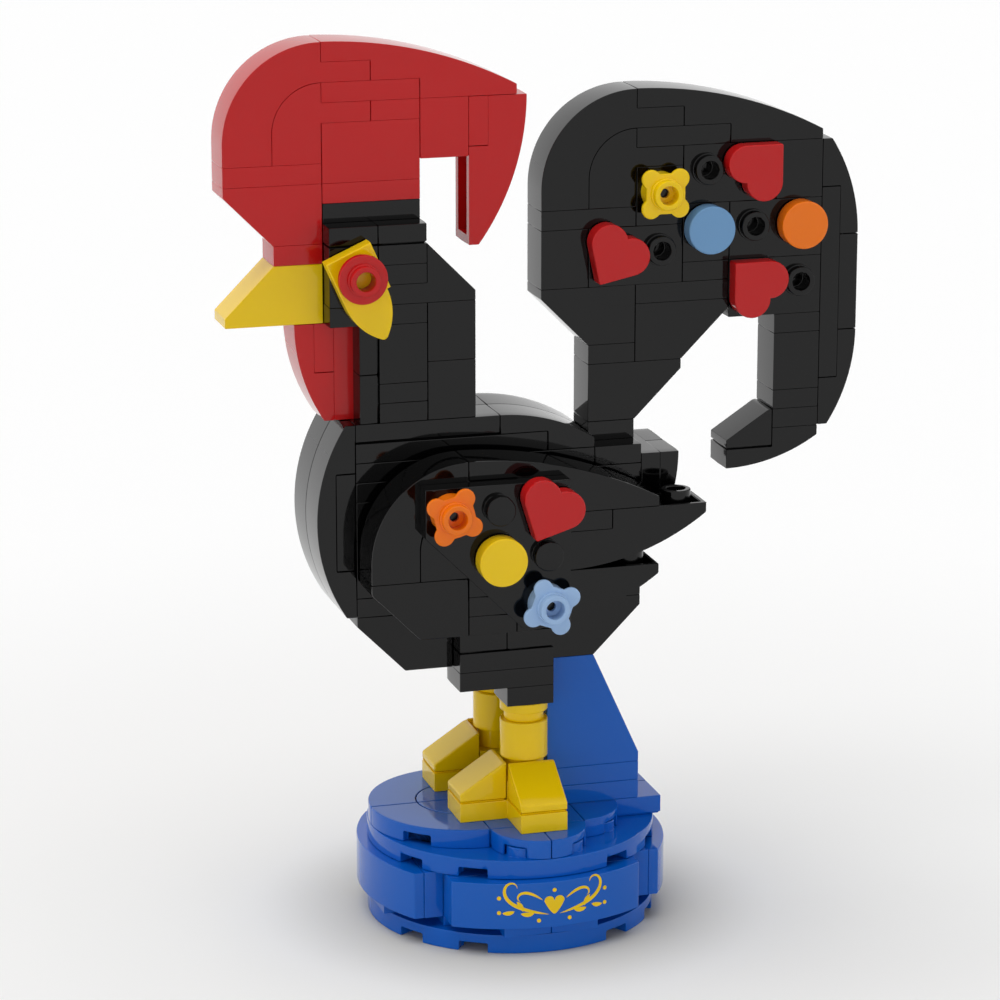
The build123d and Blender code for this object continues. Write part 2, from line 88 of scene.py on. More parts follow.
Test = Callable[[Vector, Vector], bool]
Profile = Sequence[tuple[float, float]]
Places = tuple[tuple[float, float], ...]
MeshPart = bmesh.types.BMVert | bmesh.types.BMEdge | bmesh.types.BMFace
Feed = bpy.types.NodeSocket | float | tuple[float, ...]


class Slot(Enum):
    """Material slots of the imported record."""

    BLACK = "black"
    RED = "red"
    YELLOW = "yellow"
    BLUE = "blue"
    SKY = "sky"
    ORANGE = "orange"
    PALE_BLUE = "pale_blue"


class Side(Enum):
    """The two sides of the bird, each with its direction along Y."""

    LEFT = -1
    RIGHT = 1

    @property
    def suffix(self) -> str:
        """Ending of the names of this side's pieces."""
        return self.name.lower()


def at(x: float, z: float, y: float = 0.0) -> Vector:
    """Point from a place along and across the bird in studs, and a height in plates."""
    return Vector((x * PITCH, y * PITCH, z * PLATE))


class Workpiece:
    """A mesh on the bench, shaped by operators."""

    def __init__(self, obj: bpy.types.Object) -> None:
        """Takes an object whose place is in its mesh."""
        self.obj = obj

    @classmethod
    def cylinder(cls, radius: float, bottom: float, top: float, sides: int) -> "Workpiece":
        """Upright round bar on the Z axis.

        Args:
            radius: Its radius.
            bottom: Height of its lower face.
            top: Height of its upper face.
            sides: Number of its sides.

        Returns:
            The new workpiece.
        """
        bpy.ops.object.select_all(action="DESELECT")
        bpy.ops.mesh.primitive_cylinder_add(
            vertices=sides, radius=radius, depth=top - bottom, location=(0, 0, (bottom + top) / 2)
        )
        return cls.fresh()

    @classmethod
    def block(cls, size: Sequence[float], middle: Sequence[float]) -> "Workpiece":
        """Upright block.

        Args:
            size: Its sizes along X, Y and Z.
            middle: Where its middle is.

        Returns:
            The new workpiece.
        """
        bpy.ops.object.select_all(action="DESELECT")
        bpy.ops.mesh.primitive_cube_add(size=MM, location=(0, 0, 0))
        work = cls.fresh()
        with work.editing("FACE"):
            bpy.ops.mesh.select_all(action="SELECT")
            bpy.ops.transform.resize(value=[length / MM for length in size])
            bpy.ops.transform.translate(value=middle)
        return work

    @classmethod
    def fresh(cls) -> "Workpiece":
        """Takes the primitive that was just added and puts its place into its mesh.

        Returns:
            The new workpiece.
        """
        work = cls(bpy.context.object)
        work.pick()
        bpy.ops.object.transform_apply(location=True, rotation=True, scale=True)
        return work

    @classmethod
    def turned(cls, profile: Profile, steps: int, closed: bool = False) -> "Workpiece":
        """Round piece turned from a profile about the Z axis.

        Args:
            profile: Radius and height of each corner, in order.
            steps: Number of steps in the full turn.
            closed: True if the last corner joins the first, as round a bore.

        Returns:
            The new workpiece.
        """
        bpy.ops.object.select_all(action="DESELECT")
        bpy.ops.mesh.primitive_plane_add(size=MM, location=(0, 0, 0))
        work = cls.fresh()
        corners = [Vector((radius, 0, height)) for radius, height in profile]
        if closed:
            corners.append(corners[0])
        with work.editing("VERT"):
            bpy.ops.mesh.select_all(action="SELECT")
            bpy.ops.mesh.merge(type="CENTER")
            bpy.ops.transform.translate(value=corners[0])
            for here, there in zip(corners, corners[1:]):
                bpy.ops.mesh.extrude_vertices_move(TRANSFORM_OT_translate={"value": there - here})
            bpy.ops.mesh.select_all(action="SELECT")
            bpy.ops.mesh.spin(steps=steps, angle=math.tau, center=(0, 0, 0), axis=(0, 0, 1))
            work.weld()
        return work

    @classmethod
    def copy_of(cls, node: str) -> "Workpiece":
        """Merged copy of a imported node, with flat faces whole and touching solids kept apart.

        Args:
            node: Name of the node.

        Returns:
            The new workpiece.
        """
        source = frame["nodes"][node].data
        corners: list[Vector] = []
        faces: list[list[int]] = []
        known: dict[tuple[int, ...], int] = {}
        unmatched: set[tuple[int, int]] = set()
        for triangle in source.polygons:
            face = []
            for index in triangle.vertices:
                place = source.vertices[index].co
                key = tuple(round(value / WELD) for value in place)
                if key not in known:
                    known[key] = len(corners)
                    corners.append(place.copy())
                face.append(known[key])
            faces.append(face)
            unmatched ^= cls.sides_of(face, unmatched)
            if not unmatched:
                known.clear()
        mesh = bpy.data.meshes.new(node)
        mesh.from_pydata(corners, [], faces)
        obj = bpy.data.objects.new(node, mesh)
        bpy.context.scene.collection.objects.link(obj)
        work = cls(obj)
        with work.editing("FACE"):
            bpy.ops.mesh.select_all(action="SELECT")
            bpy.ops.mesh.dissolve_limited(angle_limit=FLAT_ANGLE)
        return work

    @staticmethod
    def sides_of(face: Sequence[int], unmatched: set[tuple[int, int]]) -> set[tuple[int, int]]:
        """Sides of a face to toggle: a side that closes an open one stands for that one.

        Args:
            face: Corner numbers of the face, in order.
            unmatched: Directed sides that no face has closed yet.

        Returns:
            The sides to toggle in the set of unmatched ones.
        """
        toggled = set()
        for start, end in zip(face, (*face[1:], face[0])):
            toggled.add((end, start) if (end, start) in unmatched else (start, end))
        return toggled

    def pick(self) -> None:
        """Makes this the only selected object, and the active one."""
        bpy.ops.object.select_all(action="DESELECT")
        self.obj.select_set(True)
        bpy.context.view_layer.objects.active = self.obj

    def editing(self, kind: str) -> "Bench":
        """Edit mode as a context, with vertices, edges or faces to select."""
        return Bench(self, kind)

    def select(self, kind: str, test: Callable[[MeshPart], bool]) -> None:
        """Selects, in edit mode, the parts of the mesh that pass a test, and no others.

        Args:
            kind: VERT, EDGE or FACE.
            test: Says of a part whether it is taken.
        """
        mesh = bmesh.from_edit_mesh(self.obj.data)
        parts = {"VERT": mesh.verts, "EDGE": mesh.edges, "FACE": mesh.faces}
        for part in parts[kind]:
            part.select_set(test(part))
        mesh.select_flush_mode()
        bmesh.update_edit_mesh(self.obj.data)

    def select_faces(self, test: Test) -> None:
        """Selects the faces whose middle and normal pass the test."""
        self.select("FACE", lambda face: test(face.calc_center_median(), face.normal))

    def select_edges(self, test: Test) -> None:
        """Selects the edges whose two ends pass the test."""
        self.select("EDGE", lambda edge: test(edge.verts[0].co, edge.verts[1].co))

    def select_vertices(self, test: Callable[[Vector], bool]) -> None:
        """Selects the vertices whose place passes the test."""
        self.select("VERT", lambda vertex: test(vertex.co))

    def weld(self) -> None:
        """Merges, in edit mode, the vertices that lie together, and turns all faces outwards."""
        bpy.ops.mesh.select_all(action="SELECT")
        bpy.ops.mesh.remove_doubles(threshold=WELD)
        bpy.ops.mesh.normals_make_consistent(inside=False)

    def move_vertices(self, mover: Callable[[Vector], Vector]) -> None:
        """Moves every vertex, in object mode.

        Args:
            mover: Gives the new place of a vertex from its old one.
        """
        for vertex in self.obj.data.vertices:
            vertex.co = mover(vertex.co.copy())
        self.obj.data.update()

    def bevel_rim(self, test: Test, width: float, segments: int = 3) -> None:
        """Rounds the edges whose two ends pass a test.

        Args:
            test: Says of an edge's two ends whether the edge is taken.
            width: Width of the rounding on each face.
            segments: Number of its steps.
        """
        with self.editing("EDGE"):
            self.select_edges(test)
            bpy.ops.mesh.bevel(
                offset=width, segments=segments, profile=0.5, affect="EDGES", clamp_overlap=True
            )

    def round_edges(self, width: float, segments: int = 2) -> None:
        """Rounds all sharp edges with an applied modifier.

        Args:
            width: Width of the rounding on each face.
            segments: Number of its steps.
        """
        bevel = self.obj.modifiers.new("edges", "BEVEL")
        bevel.width = width
        bevel.segments = segments
        bevel.limit_method = "ANGLE"
        bevel.angle_limit = SMOOTH_ANGLE
        bevel.use_clamp_overlap = False
        bevel.miter_outer = "MITER_ARC"
        self.apply(bevel)

    def crown(self, across: float, width: float) -> None:
        """Cuts the faces along a plane on each side and moves the cut out, so that neighbours touch there.

        Args:
            across: Distance of the planes from the bird's middle plane.
            width: How far the cut moves out.
        """
        with self.editing("VERT"):
            for level in {-across, across}:
                bpy.ops.mesh.select_all(action="SELECT")
                bpy.ops.mesh.bisect(plane_co=(0, level, 0), plane_no=(0, 1, 0))
            self.select_vertices(lambda place: abs(abs(place.y) - across) < WELD)
            bpy.ops.transform.shrink_fatten(value=width, use_even_offset=True)

    def thicken(self, thickness: float) -> None:
        """Gives a flat sheet a thickness upwards with an applied modifier.

        Args:
            thickness: How thick it gets.
        """
        solid = self.obj.modifiers.new("thickness", "SOLIDIFY")
        solid.thickness = thickness
        solid.offset = 1.0
        self.apply(solid)

    def cut(self, tool: "Workpiece") -> None:
        """Cuts another workpiece out of this one.

        Args:
            tool: The other workpiece, which is removed.
        """
        boolean = self.obj.modifiers.new("cut", "BOOLEAN")
        boolean.operation = "DIFFERENCE"
        boolean.solver = "EXACT"
        boolean.object = tool.obj
        self.apply(boolean)
        mesh = tool.obj.data
        bpy.data.objects.remove(tool.obj)
        bpy.data.meshes.remove(mesh)

    def apply(self, modifier: bpy.types.Modifier) -> None:
        """Applies a modifier to the mesh."""
        self.pick()
        bpy.ops.object.modifier_apply(modifier=modifier.name)

    def place(self, matrix: Matrix) -> None:
        """Puts the mesh in place, with its faces still outwards if it is mirrored.

        Args:
            matrix: Where each point goes.
        """
        self.obj.data.transform(matrix)
        if matrix.determinant() < 0:
            self.obj.data.flip_normals()
        self.obj.data.update()

    def face_up(self) -> None:
        """Turns a flat sheet over if it faces down."""
        if self.obj.data.polygons[0].normal.z < 0:
            self.obj.data.flip_normals()

    def copy(self) -> "Workpiece":
        """Copies the workpiece with its mesh.

        Returns:
            The copy.
        """
        obj = self.obj.copy()
        obj.data = self.obj.data.copy()
        bpy.context.scene.collection.objects.link(obj)
        return Workpiece(obj)

    def join(self, others: Iterable["Workpiece"]) -> None:
        """Takes other workpieces into this one.

        Args:
            others: The other workpieces, or none.
        """
        others = list(others)
        if not others:
            return
        self.pick()
        for other in others:
            other.obj.select_set(True)
        bpy.ops.object.join()

    def shade(self) -> None:
        """Smooths the rounded edges, with flat faces kept flat by weighted normals."""
        self.pick()
        bpy.ops.object.shade_smooth_by_angle(angle=SMOOTH_ANGLE)
        weighted = self.obj.modifiers.new("normals", "WEIGHTED_NORMAL")
        weighted.keep_sharp = True
        self.apply(weighted)


class Bench:
    """Edit mode on one workpiece."""

    def __init__(self, work: Workpiece, kind: str) -> None:
        """Remembers the workpiece and what is selected in it.

        Args:
            work: The workpiece.
            kind: VERT, EDGE or FACE.
        """
        self.work = work
        self.kind = kind

    def __enter__(self) -> Workpiece:
        """Enters edit mode with nothing selected.

        Returns:
            The workpiece.
        """
        self.work.pick()
        bpy.ops.object.mode_set(mode="EDIT")
        bpy.ops.mesh.select_mode(type=self.kind)
        bpy.ops.mesh.select_all(action="DESELECT")
        return self.work

    def __exit__(self, *_: object) -> None:
        """Returns to object mode."""
        bpy.ops.object.mode_set(mode="OBJECT")


@dataclass
class Wiring:
    """Adds nodes to one node tree, with their inputs linked or set."""

    tree: bpy.types.NodeTree

    def feed(self, node: bpy.types.Node, inputs: dict[str | int, Feed]) -> None:
        """Links or sets some inputs of a node.

        Args:
            node: The node.
            inputs: The socket to link or the value to set, by each input's name or number.
        """
        for key, value in inputs.items():
            if isinstance(value, bpy.types.NodeSocket):
                self.tree.links.new(value, node.inputs[key])
            else:
                node.inputs[key].default_value = value

    def add(self, kind: str, inputs: dict[str | int, Feed] | None = None) -> bpy.types.Node:
        """Adds a node.

        Args:
            kind: Its type.
            inputs: What its inputs get, if anything.

        Returns:
            The new node.
        """
        node = self.tree.nodes.new(kind)
        self.feed(node, inputs or {})
        return node

    def compute(self, operation: str, *values: Feed, clamp: bool = False) -> bpy.types.NodeSocket:
        """Adds a math node.

        Args:
            operation: What it does.
            values: What its inputs get, in order.
            clamp: Whether its result is kept between 0 and 1.

        Returns:
            The socket with its result.
        """
        node = self.add("ShaderNodeMath")
        node.operation = operation
        node.use_clamp = clamp
        self.feed(node, dict(enumerate(values)))
        return node.outputs[0]

    def noise(self, place: bpy.types.NodeSocket, scale: float, detail: float) -> bpy.types.NodeSocket:
        """Adds a noise texture.

        Args:
            place: The coordinates that it reads.
            scale: Its scale.
            detail: How many finer layers it has.

        Returns:
            The socket with its value.
        """
        inputs = {"Vector": place, "Scale": scale, "Detail": detail}
        return self.add("ShaderNodeTexNoise", inputs).outputs["Fac"]


class MouldedSkin:
    """Node group of a moulded plastic surface: slight colour drift, gloss changes and hairline marks."""

    NAME = "moulded_skin"
    INPUTS = ("Colour", "Drift", "Gloss", "Cloud")
    OUTPUTS = ("Colour", "Roughness", "Height")
    DRIFT_SCALE = 55.0
    DRIFT_DETAIL = 2.0
    CLOUD_SCALE = 320.0
    CLOUD_DETAIL = 3.0
    HAIRLINE_SCALE = (2600.0, 2600.0, 140.0)
    HAIRLINE_DETAIL = 1.0

    @classmethod
    def get(cls) -> bpy.types.NodeTree:
        """The group, built the first time it is asked for."""
        return bpy.data.node_groups.get(cls.NAME) or cls.build()

    @classmethod
    def build(cls) -> bpy.types.NodeTree:
        """Builds the group with its named inputs and outputs.

        Returns:
            The group.
        """
        tree = bpy.data.node_groups.new(cls.NAME, "ShaderNodeTree")
        for way, names in (("INPUT", cls.INPUTS), ("OUTPUT", cls.OUTPUTS)):
            for name in names:
                kind = "NodeSocketColor" if name == "Colour" else "NodeSocketFloat"
                tree.interface.new_socket(name=name, in_out=way, socket_type=kind)
        wiring = Wiring(tree)
        source = wiring.add("NodeGroupInput").outputs
        place = wiring.add("ShaderNodeTexCoord").outputs["Object"]

        drift = wiring.noise(place, cls.DRIFT_SCALE, cls.DRIFT_DETAIL)
        swing = wiring.compute("SUBTRACT", drift, 0.5)
        amount = wiring.compute("MULTIPLY_ADD", swing, source["Drift"], 1.0)
        tint = wiring.add("ShaderNodeVectorMath")
        tint.operation = "SCALE"
        wiring.feed(tint, {0: source["Colour"], "Scale": amount})

        cloud = wiring.noise(place, cls.CLOUD_SCALE, cls.CLOUD_DETAIL)
        gloss = wiring.compute("MULTIPLY_ADD", cloud, source["Cloud"], source["Gloss"])

        stretch = wiring.add("ShaderNodeMapping", {"Vector": place, "Scale": cls.HAIRLINE_SCALE})
        hairline = wiring.noise(stretch.outputs["Vector"], 1.0, cls.HAIRLINE_DETAIL)
        wiring.add("NodeGroupOutput", {"Colour": tint.outputs[0], "Roughness": gloss, "Height": hairline})
        return tree


@dataclass(frozen=True)
class MouldedPlastic:
    """Glossy moulded plastic of one colour."""

    slot: Slot
    colour: tuple[float, float, float]
    drift: float = 0.06
    gloss: float = 0.035
    cloud: float = 0.05
    hairline: float = 0.012
    hairline_depth: float = 0.02 * MM
    ior: float = 1.37

    def build(self) -> bpy.types.Material:
        """Makes the material.

        Returns:
            The new material.
        """
        material = bpy.data.materials.new(f"{self.slot.value}_plastic")
        material.use_nodes = True
        material.diffuse_color = (*self.colour, 1.0)
        wiring = Wiring(material.node_tree)
        skin = wiring.add("ShaderNodeGroup")
        skin.node_tree = MouldedSkin.get()
        wiring.feed(skin, {
            "Colour": (*self.colour, 1.0), "Drift": self.drift, "Gloss": self.gloss, "Cloud": self.cloud,
        })
        bump = wiring.add("ShaderNodeBump", {
            "Strength": self.hairline, "Distance": self.hairline_depth, "Height": skin.outputs["Height"],
        })
        wiring.feed(material.node_tree.nodes["Principled BSDF"], {
            "IOR": self.ior,
            "Base Color": skin.outputs["Colour"],
            "Roughness": skin.outputs["Roughness"],
            "Normal": bump.outputs["Normal"],
        })
        return material


class Palette:
    """The plastics of the bird, made once each."""

    PLASTICS = (
        MouldedPlastic(Slot.BLACK, (0.0012, 0.0012, 0.0013)),
        MouldedPlastic(Slot.RED, (0.51, 0.0065, 0.0075)),
        MouldedPlastic(Slot.YELLOW, (0.88, 0.587, 0.002)),
        MouldedPlastic(Slot.BLUE, (0.0018, 0.104, 0.5)),
        MouldedPlastic(Slot.SKY, (0.148, 0.315, 0.55)),
        MouldedPlastic(Slot.ORANGE, (0.87, 0.179, 0.002)),
        MouldedPlastic(Slot.PALE_BLUE, (0.32, 0.485, 0.74)),
    )

    def __init__(self) -> None:
        """Makes the materials."""
        self.materials = {plastic.slot: plastic.build() for plastic in self.PLASTICS}

    def dress(self, work: Workpiece, name: str, slot: Slot, body: str, *nodes: str) -> bpy.types.Object:
        """Finishes a workpiece as a piece of the bird.

        Args:
            work: The modelled piece, in place.
            name: Its name.
            slot: Its material slot.
            body: The body that it rides on.
            nodes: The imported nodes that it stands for.

        Returns:
            The finished object.
        """
        work.shade()
        obj = work.obj
        obj.name = name
        obj.data.name = name
        obj.data.materials.clear()
        obj.data.materials.append(self.materials[slot])
        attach(obj, body)
        if nodes:
            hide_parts(*nodes)
        LOG.info("%s: %d faces, rides on %s", name, len(obj.data.polygons), body)
        return obj


@dataclass
class Stud:
    """Round stud, plain or open, on a wall at Z = 0."""

    radius: float = STUD_R + SKIN
    height: float = STUD_H + SKIN
    collar: float = COLLAR_R
    collar_height: float = COLLAR_H
    sunk: float = 0.3 * MM
    rim: float = 0.2 * MM
    sides: int = 48

    def side(self, foot: float) -> list[tuple[float, float]]:
        """Profile of the stud's side, from its foot up, with a collar if it has one.

        Args:
            foot: Height of the foot.

        Returns:
            Radius and height of each corner.
        """
        outline = [(0.0, foot), (self.radius, foot), (self.radius, self.height)]
        if self.collar > self.radius:
            step = self.collar_height
            outline[1:2] = [(self.collar, foot), (self.collar, step), (self.radius, step)]
        return outline

    def plain(self) -> Workpiece:
        """Stud with a closed top."""
        profile = [*self.side(-self.sunk), (0.0, self.height)]
        return self.rounded(Workpiece.turned(profile, self.sides))

    def open(self) -> Workpiece:
        """Stud with a bore that goes on into the wall.

        Returns:
            The stud.
        """
        floor = -BORE_DEPTH
        bore = [(BORE_R, self.height), (BORE_R, floor), (0.0, floor)]
        profile = [*self.side(floor - self.sunk), *bore]
        return self.rounded(Workpiece.turned(profile, self.sides))

    def rounded(self, work: Workpiece) -> Workpiece:
        """Rounds the rims of a stud's top and of its collar.

        Args:
            work: The stud.

        Returns:
            The same stud.
        """
        low = self.height - SKIN / 2
        step = self.collar_height
        work.bevel_rim(lambda a, b: on_rim(a, b) and min(a.z, b.z) > low, self.rim)
        work.bevel_rim(
            lambda a, b: on_rim(a, b) and abs(a.z - step) < WELD and abs(a.xy.length - self.collar) < WELD,
            self.rim / 2,
            segments=2,
        )
        return work


def soft_max(a: float, b: float, blend: float) -> float:
    """The larger of two values, with a smooth passage where they are closer than the blend."""
    near = max(blend - abs(a - b), 0.0)
    return max(a, b) + near**2 / (4 * blend)


def on_rim(a: Vector, b: Vector) -> bool:
    """Whether an edge of a turned piece runs round it."""
    return abs(a.xy.length - b.xy.length) < WELD and abs(a.z - b.z) < WELD


def joins(a: Vector, b: Vector, ends: Sequence[Vector]) -> bool:
    """Whether both ends of an edge lie at given places in the flat."""
    return all(min((point.xy - end).length for end in ends) < WELD for point in (a, b))


def facing(direction: Vector, point: Vector) -> Matrix:
    """Matrix that takes a piece drawn on Z = 0 to a wall.

    Args:
        direction: Where the wall faces. Sideways, the piece's own Y points up.
        point: The place on the wall.

    Returns:
        The matrix, which mirrors the piece on the right side.
    """
    if direction.z > ALIGNED:
        return Matrix.Translation(point)
    turn = Matrix.Identity(4)
    turn.col[0].xyz = (1, 0, 0)
    turn.col[1].xyz = (0, 0, 1)
    turn.col[2].xyz = direction
    return Matrix.Translation(point) @ turn


@dataclass
class Groove:
    """Foot groove round one face of some bricks of a group."""

    normal: Vector
    level: float
    height: float = 0.3 * MM
    inset: float = 0.25 * MM
    top: float = math.inf

    def carve(self, work: Workpiece) -> None:
        """Draws the face in and makes a narrower foot under it.

        Args:
            work: The group of bricks.
        """
        with work.editing("FACE"):
            work.select_faces(
                lambda middle, normal: normal.dot(self.normal) > ALIGNED
                and abs(middle.dot(self.normal) - self.level) < 2 * PLAY
                and middle.z < self.top
            )
            bpy.ops.transform.translate(value=-self.normal * self.height)
            bpy.ops.mesh.inset(thickness=self.inset, use_individual=True)
            bpy.ops.mesh.extrude_region_move(TRANSFORM_OT_translate={"value": self.normal * self.height})


@dataclass
class Pocket:
    """Hollow that runs inwards from a notch in a round rim, so that the notch looks deep."""

    centre: Vector
    heading: float
    inner: float
    outer: float
    width: float
    height: float

    def tool(self) -> Workpiece:
        """Block that cuts the hollow.

        Returns:
            The block, in place.
        """
        length = self.outer - self.inner
        work = Workpiece.block((length, self.width, 2 * self.height), (self.inner + length / 2, 0, 0))
        work.place(Matrix.Translation(self.centre) @ Matrix.Rotation(math.radians(self.heading), 4, "Z"))
        return work


def foot_groove(plates: float) -> Groove:
    """Groove round the underside of bricks that stand at a height in plates."""
    return Groove(DOWN, -plates * PLATE)


@dataclass(frozen=True)
class StudPlace:
    """Where the middle of a stud's foot is, where the stud points and whether it has a bore."""

    point: Vector
    direction: Vector
    is_open: bool


@dataclass
class BrickGroup:
    """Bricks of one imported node, with rounded edges, foot grooves and round studs.

    Bricks whose node starts with a word in TOUCH meet their neighbours at that distance from the bird's
    middle plane, so that no light shows through the seams.
    """

    TOUCH: ClassVar[dict[float, tuple[str, ...]]] = {
        0.0: ("comb_", "tail_"),
        6 * MM: ("body_", "back_", "belly_", "hip_", "neck_", "rear_"),
    }
    node: str
    slot: Slot
    edge: float = 0.15 * MM
    grooves: tuple[Groove, ...] = ()
    pockets: tuple[Pocket, ...] = ()
    studs: tuple[StudPlace, ...] = ()
    stud: Stud = field(default_factory=Stud)

    def build(self, palette: Palette) -> bpy.types.Object:
        """Models the group and dresses it.

        Args:
            palette: The plastics.

        Returns:
            The finished object.
        """
        work = Workpiece.copy_of(self.node)
        for groove in self.grooves:
            groove.carve(work)
        for pocket in self.pockets:
            work.cut(pocket.tool())
        for across, starts in self.TOUCH.items():
            if self.node.startswith(starts):
                work.crown(across, PLAY)
        work.round_edges(self.edge)
        work.join(self.make_stud(place) for place in self.studs)
        return palette.dress(work, f"{self.node}_moulded", self.slot, ROOT_BODY, self.node)

    def make_stud(self, place: StudPlace) -> Workpiece:
        """Models one round stud in place.

        Args:
            place: Where it stands.

        Returns:
            The stud.
        """
        work = self.stud.open() if place.is_open else self.stud.plain()
        work.place(facing(place.direction, place.point))
        return work


@dataclass
class Bird:
    """All brick groups that stay still: base, feet, body, wings, neck, head, comb and tail.

    Places are in studs along and across the bird, and heights in plates.
    """

    tail_wall: float = PITCH / 2 - PLAY
    wing_wall: float = 2.2 * PITCH + PLATE
    wing_middle: float = 1.7
    tail_studs: Places = ((4, 38.75), (5, 35.75), (3, 34.75), (6, 32.75))
    wing_studs: Places = ((-1, 23.25), (0, 20.75))
    tip_studs: Places = ((3, 22.5), (2, 19.5))
    base_studs: Places = ((0.5, 2.5), (-0.5, 2.5), (1.5, 1.5))
    base_top: float = 5
    throat_face: float = -3
    throat_top: float = 32
    base_edge: float = 0.22 * MM
    wing_edge: float = 0.22 * MM
    comb_edge: float = 0.1 * MM
    toe_edge: float = 0.3 * MM
    disc_notch: tuple[float, float] = (2.5, 1.5)
    disc_hollow: tuple[float, float] = (15 * MM, 3 * PITCH - MM)
    tile_corner: float = -1
    tile_notch: float = 135
    tile_notch_width: float = 4.15 * MM
    tile_notch_height: float = STUD_H + 0.1 * MM
    tile_hollow: tuple[float, float] = (9.5 * MM, 15.5 * MM)

    def disc_pockets(self, level: float) -> tuple[Pocket, ...]:
        """Hollows behind the eight notches of a round base plate.

        Args:
            level: Height of the plate's underside in plates.

        Returns:
            The hollows.
        """
        along, across = self.disc_notch
        first = math.degrees(math.atan2(across, along))
        headings = [90 * turn + angle for turn in range(4) for angle in (first, 90 - first)]
        width = 2 * (STUD_R - SKIN)
        height = PLATE / 2 - SKIN
        middle = at(0, level)
        return tuple(Pocket(middle, heading, *self.disc_hollow, width, height) for heading in headings)

    def tile_pockets(self) -> tuple[Pocket, ...]:
        """Hollows behind the notches of the two front ring tiles.

        Returns:
            The hollows.
        """
        middle = at(self.tile_corner, self.base_top)
        size = (*self.tile_hollow, self.tile_notch_width, self.tile_notch_height)
        return tuple(Pocket(middle, side.value * self.tile_notch, *size) for side in Side)

    @staticmethod
    def wall_studs(places: Places, wall: float, is_open: bool) -> tuple[StudPlace, ...]:
        """Studs on the side walls of both sides.

        Args:
            places: Place along the bird and height of each.
            wall: Distance of the wall from the bird's middle.
            is_open: Whether they have bores.

        Returns:
            The place of each stud.
        """
        studs = []
        for x, z in places:
            for side in Side:
                outward = Vector((0, side.value, 0))
                studs.append(StudPlace(at(x, z) + outward * wall, outward, is_open))
        return tuple(studs)

    @staticmethod
    def top_studs(places: Iterable[tuple[float, float, float]], is_open: bool) -> tuple[StudPlace, ...]:
        """Studs that point up, on both sides.

        Args:
            places: Place along the bird, height and place across of each.
            is_open: Whether they have bores.

        Returns:
            The place of each stud.
        """
        points = [at(x, z, side.value * y) for x, z, y in places for side in Side]
        return tuple(StudPlace(point, UP, is_open) for point in points)

    def groups(self) -> list[BrickGroup]:
        """Lists all brick groups.

        Returns:
            The groups.
        """
        black = Slot.BLACK
        blue = Slot.BLUE
        bare = Stud(collar=0.0)
        base_studs = self.top_studs([(x, self.base_top, y) for x, y in self.base_studs], False)
        wing_studs = self.wall_studs(self.wing_studs, self.wing_wall, False)
        tip_studs = self.top_studs([(x, z, self.wing_middle) for x, z in self.tip_studs], True)
        tail_studs = self.wall_studs(self.tail_studs, self.tail_wall, True)
        throat = Groove(TO_TAIL, self.throat_face * PITCH, top=self.throat_top * PLATE)
        plain = {
            blue: ("base_core", "rear_support"),
            Slot.YELLOW: ("foot_plates", "beak"),
            black: (
                "belly_slopes", "body_bricks", "chest_curves", "back_curves", "wing_plates",
                "wing_brackets", "neck_bricks", "head_brick", "comb_seat_plate", "tail_arches",
                "tail_curves", "tail_plates",
            ),
        }
        combs = ("wattle", "comb_arches", "comb_curves", "comb_plates", "comb_bricks")
        base = {
            "base_bottom_disc": {"pockets": self.disc_pockets(0)},
            "base_curved_panels": {},
            "base_rim_tiles": {"pockets": self.tile_pockets()},
            "base_top_disc": {
                "pockets": self.disc_pockets(self.base_top - 1), "studs": base_studs, "stud": bare,
            },
        }
        groups = [BrickGroup(node, slot) for slot, nodes in plain.items() for node in nodes]
        groups += [BrickGroup(node, Slot.RED, edge=self.comb_edge) for node in combs]
        groups += [BrickGroup(node, blue, edge=self.base_edge, **extras) for node, extras in base.items()]
        groups += [
            BrickGroup("base_jumper_plates", blue, grooves=(foot_groove(self.base_top),)),
            BrickGroup("toe_slopes", Slot.YELLOW, edge=self.toe_edge, grooves=(foot_groove(7),)),
            BrickGroup("hip_plates", black, grooves=(foot_groove(15),)),
            BrickGroup("body_plates", black, grooves=(foot_groove(26),)),
            BrickGroup("neck_plates", black, grooves=(foot_groove(36), throat)),
            BrickGroup("tail_slopes", black, grooves=(foot_groove(24),)),
            BrickGroup("wing_arches", black, edge=self.wing_edge),
            BrickGroup("wing_curves", black, edge=self.wing_edge, studs=tip_studs, stud=bare),
            BrickGroup("wing_corner_plates", black, studs=wing_studs, stud=bare),
            BrickGroup("tail_bricks", black, studs=tail_studs),
        ]
        return groups

    def build(self, palette: Palette) -> None:
        """Builds all groups."""
        for group in self.groups():
            group.build(palette)


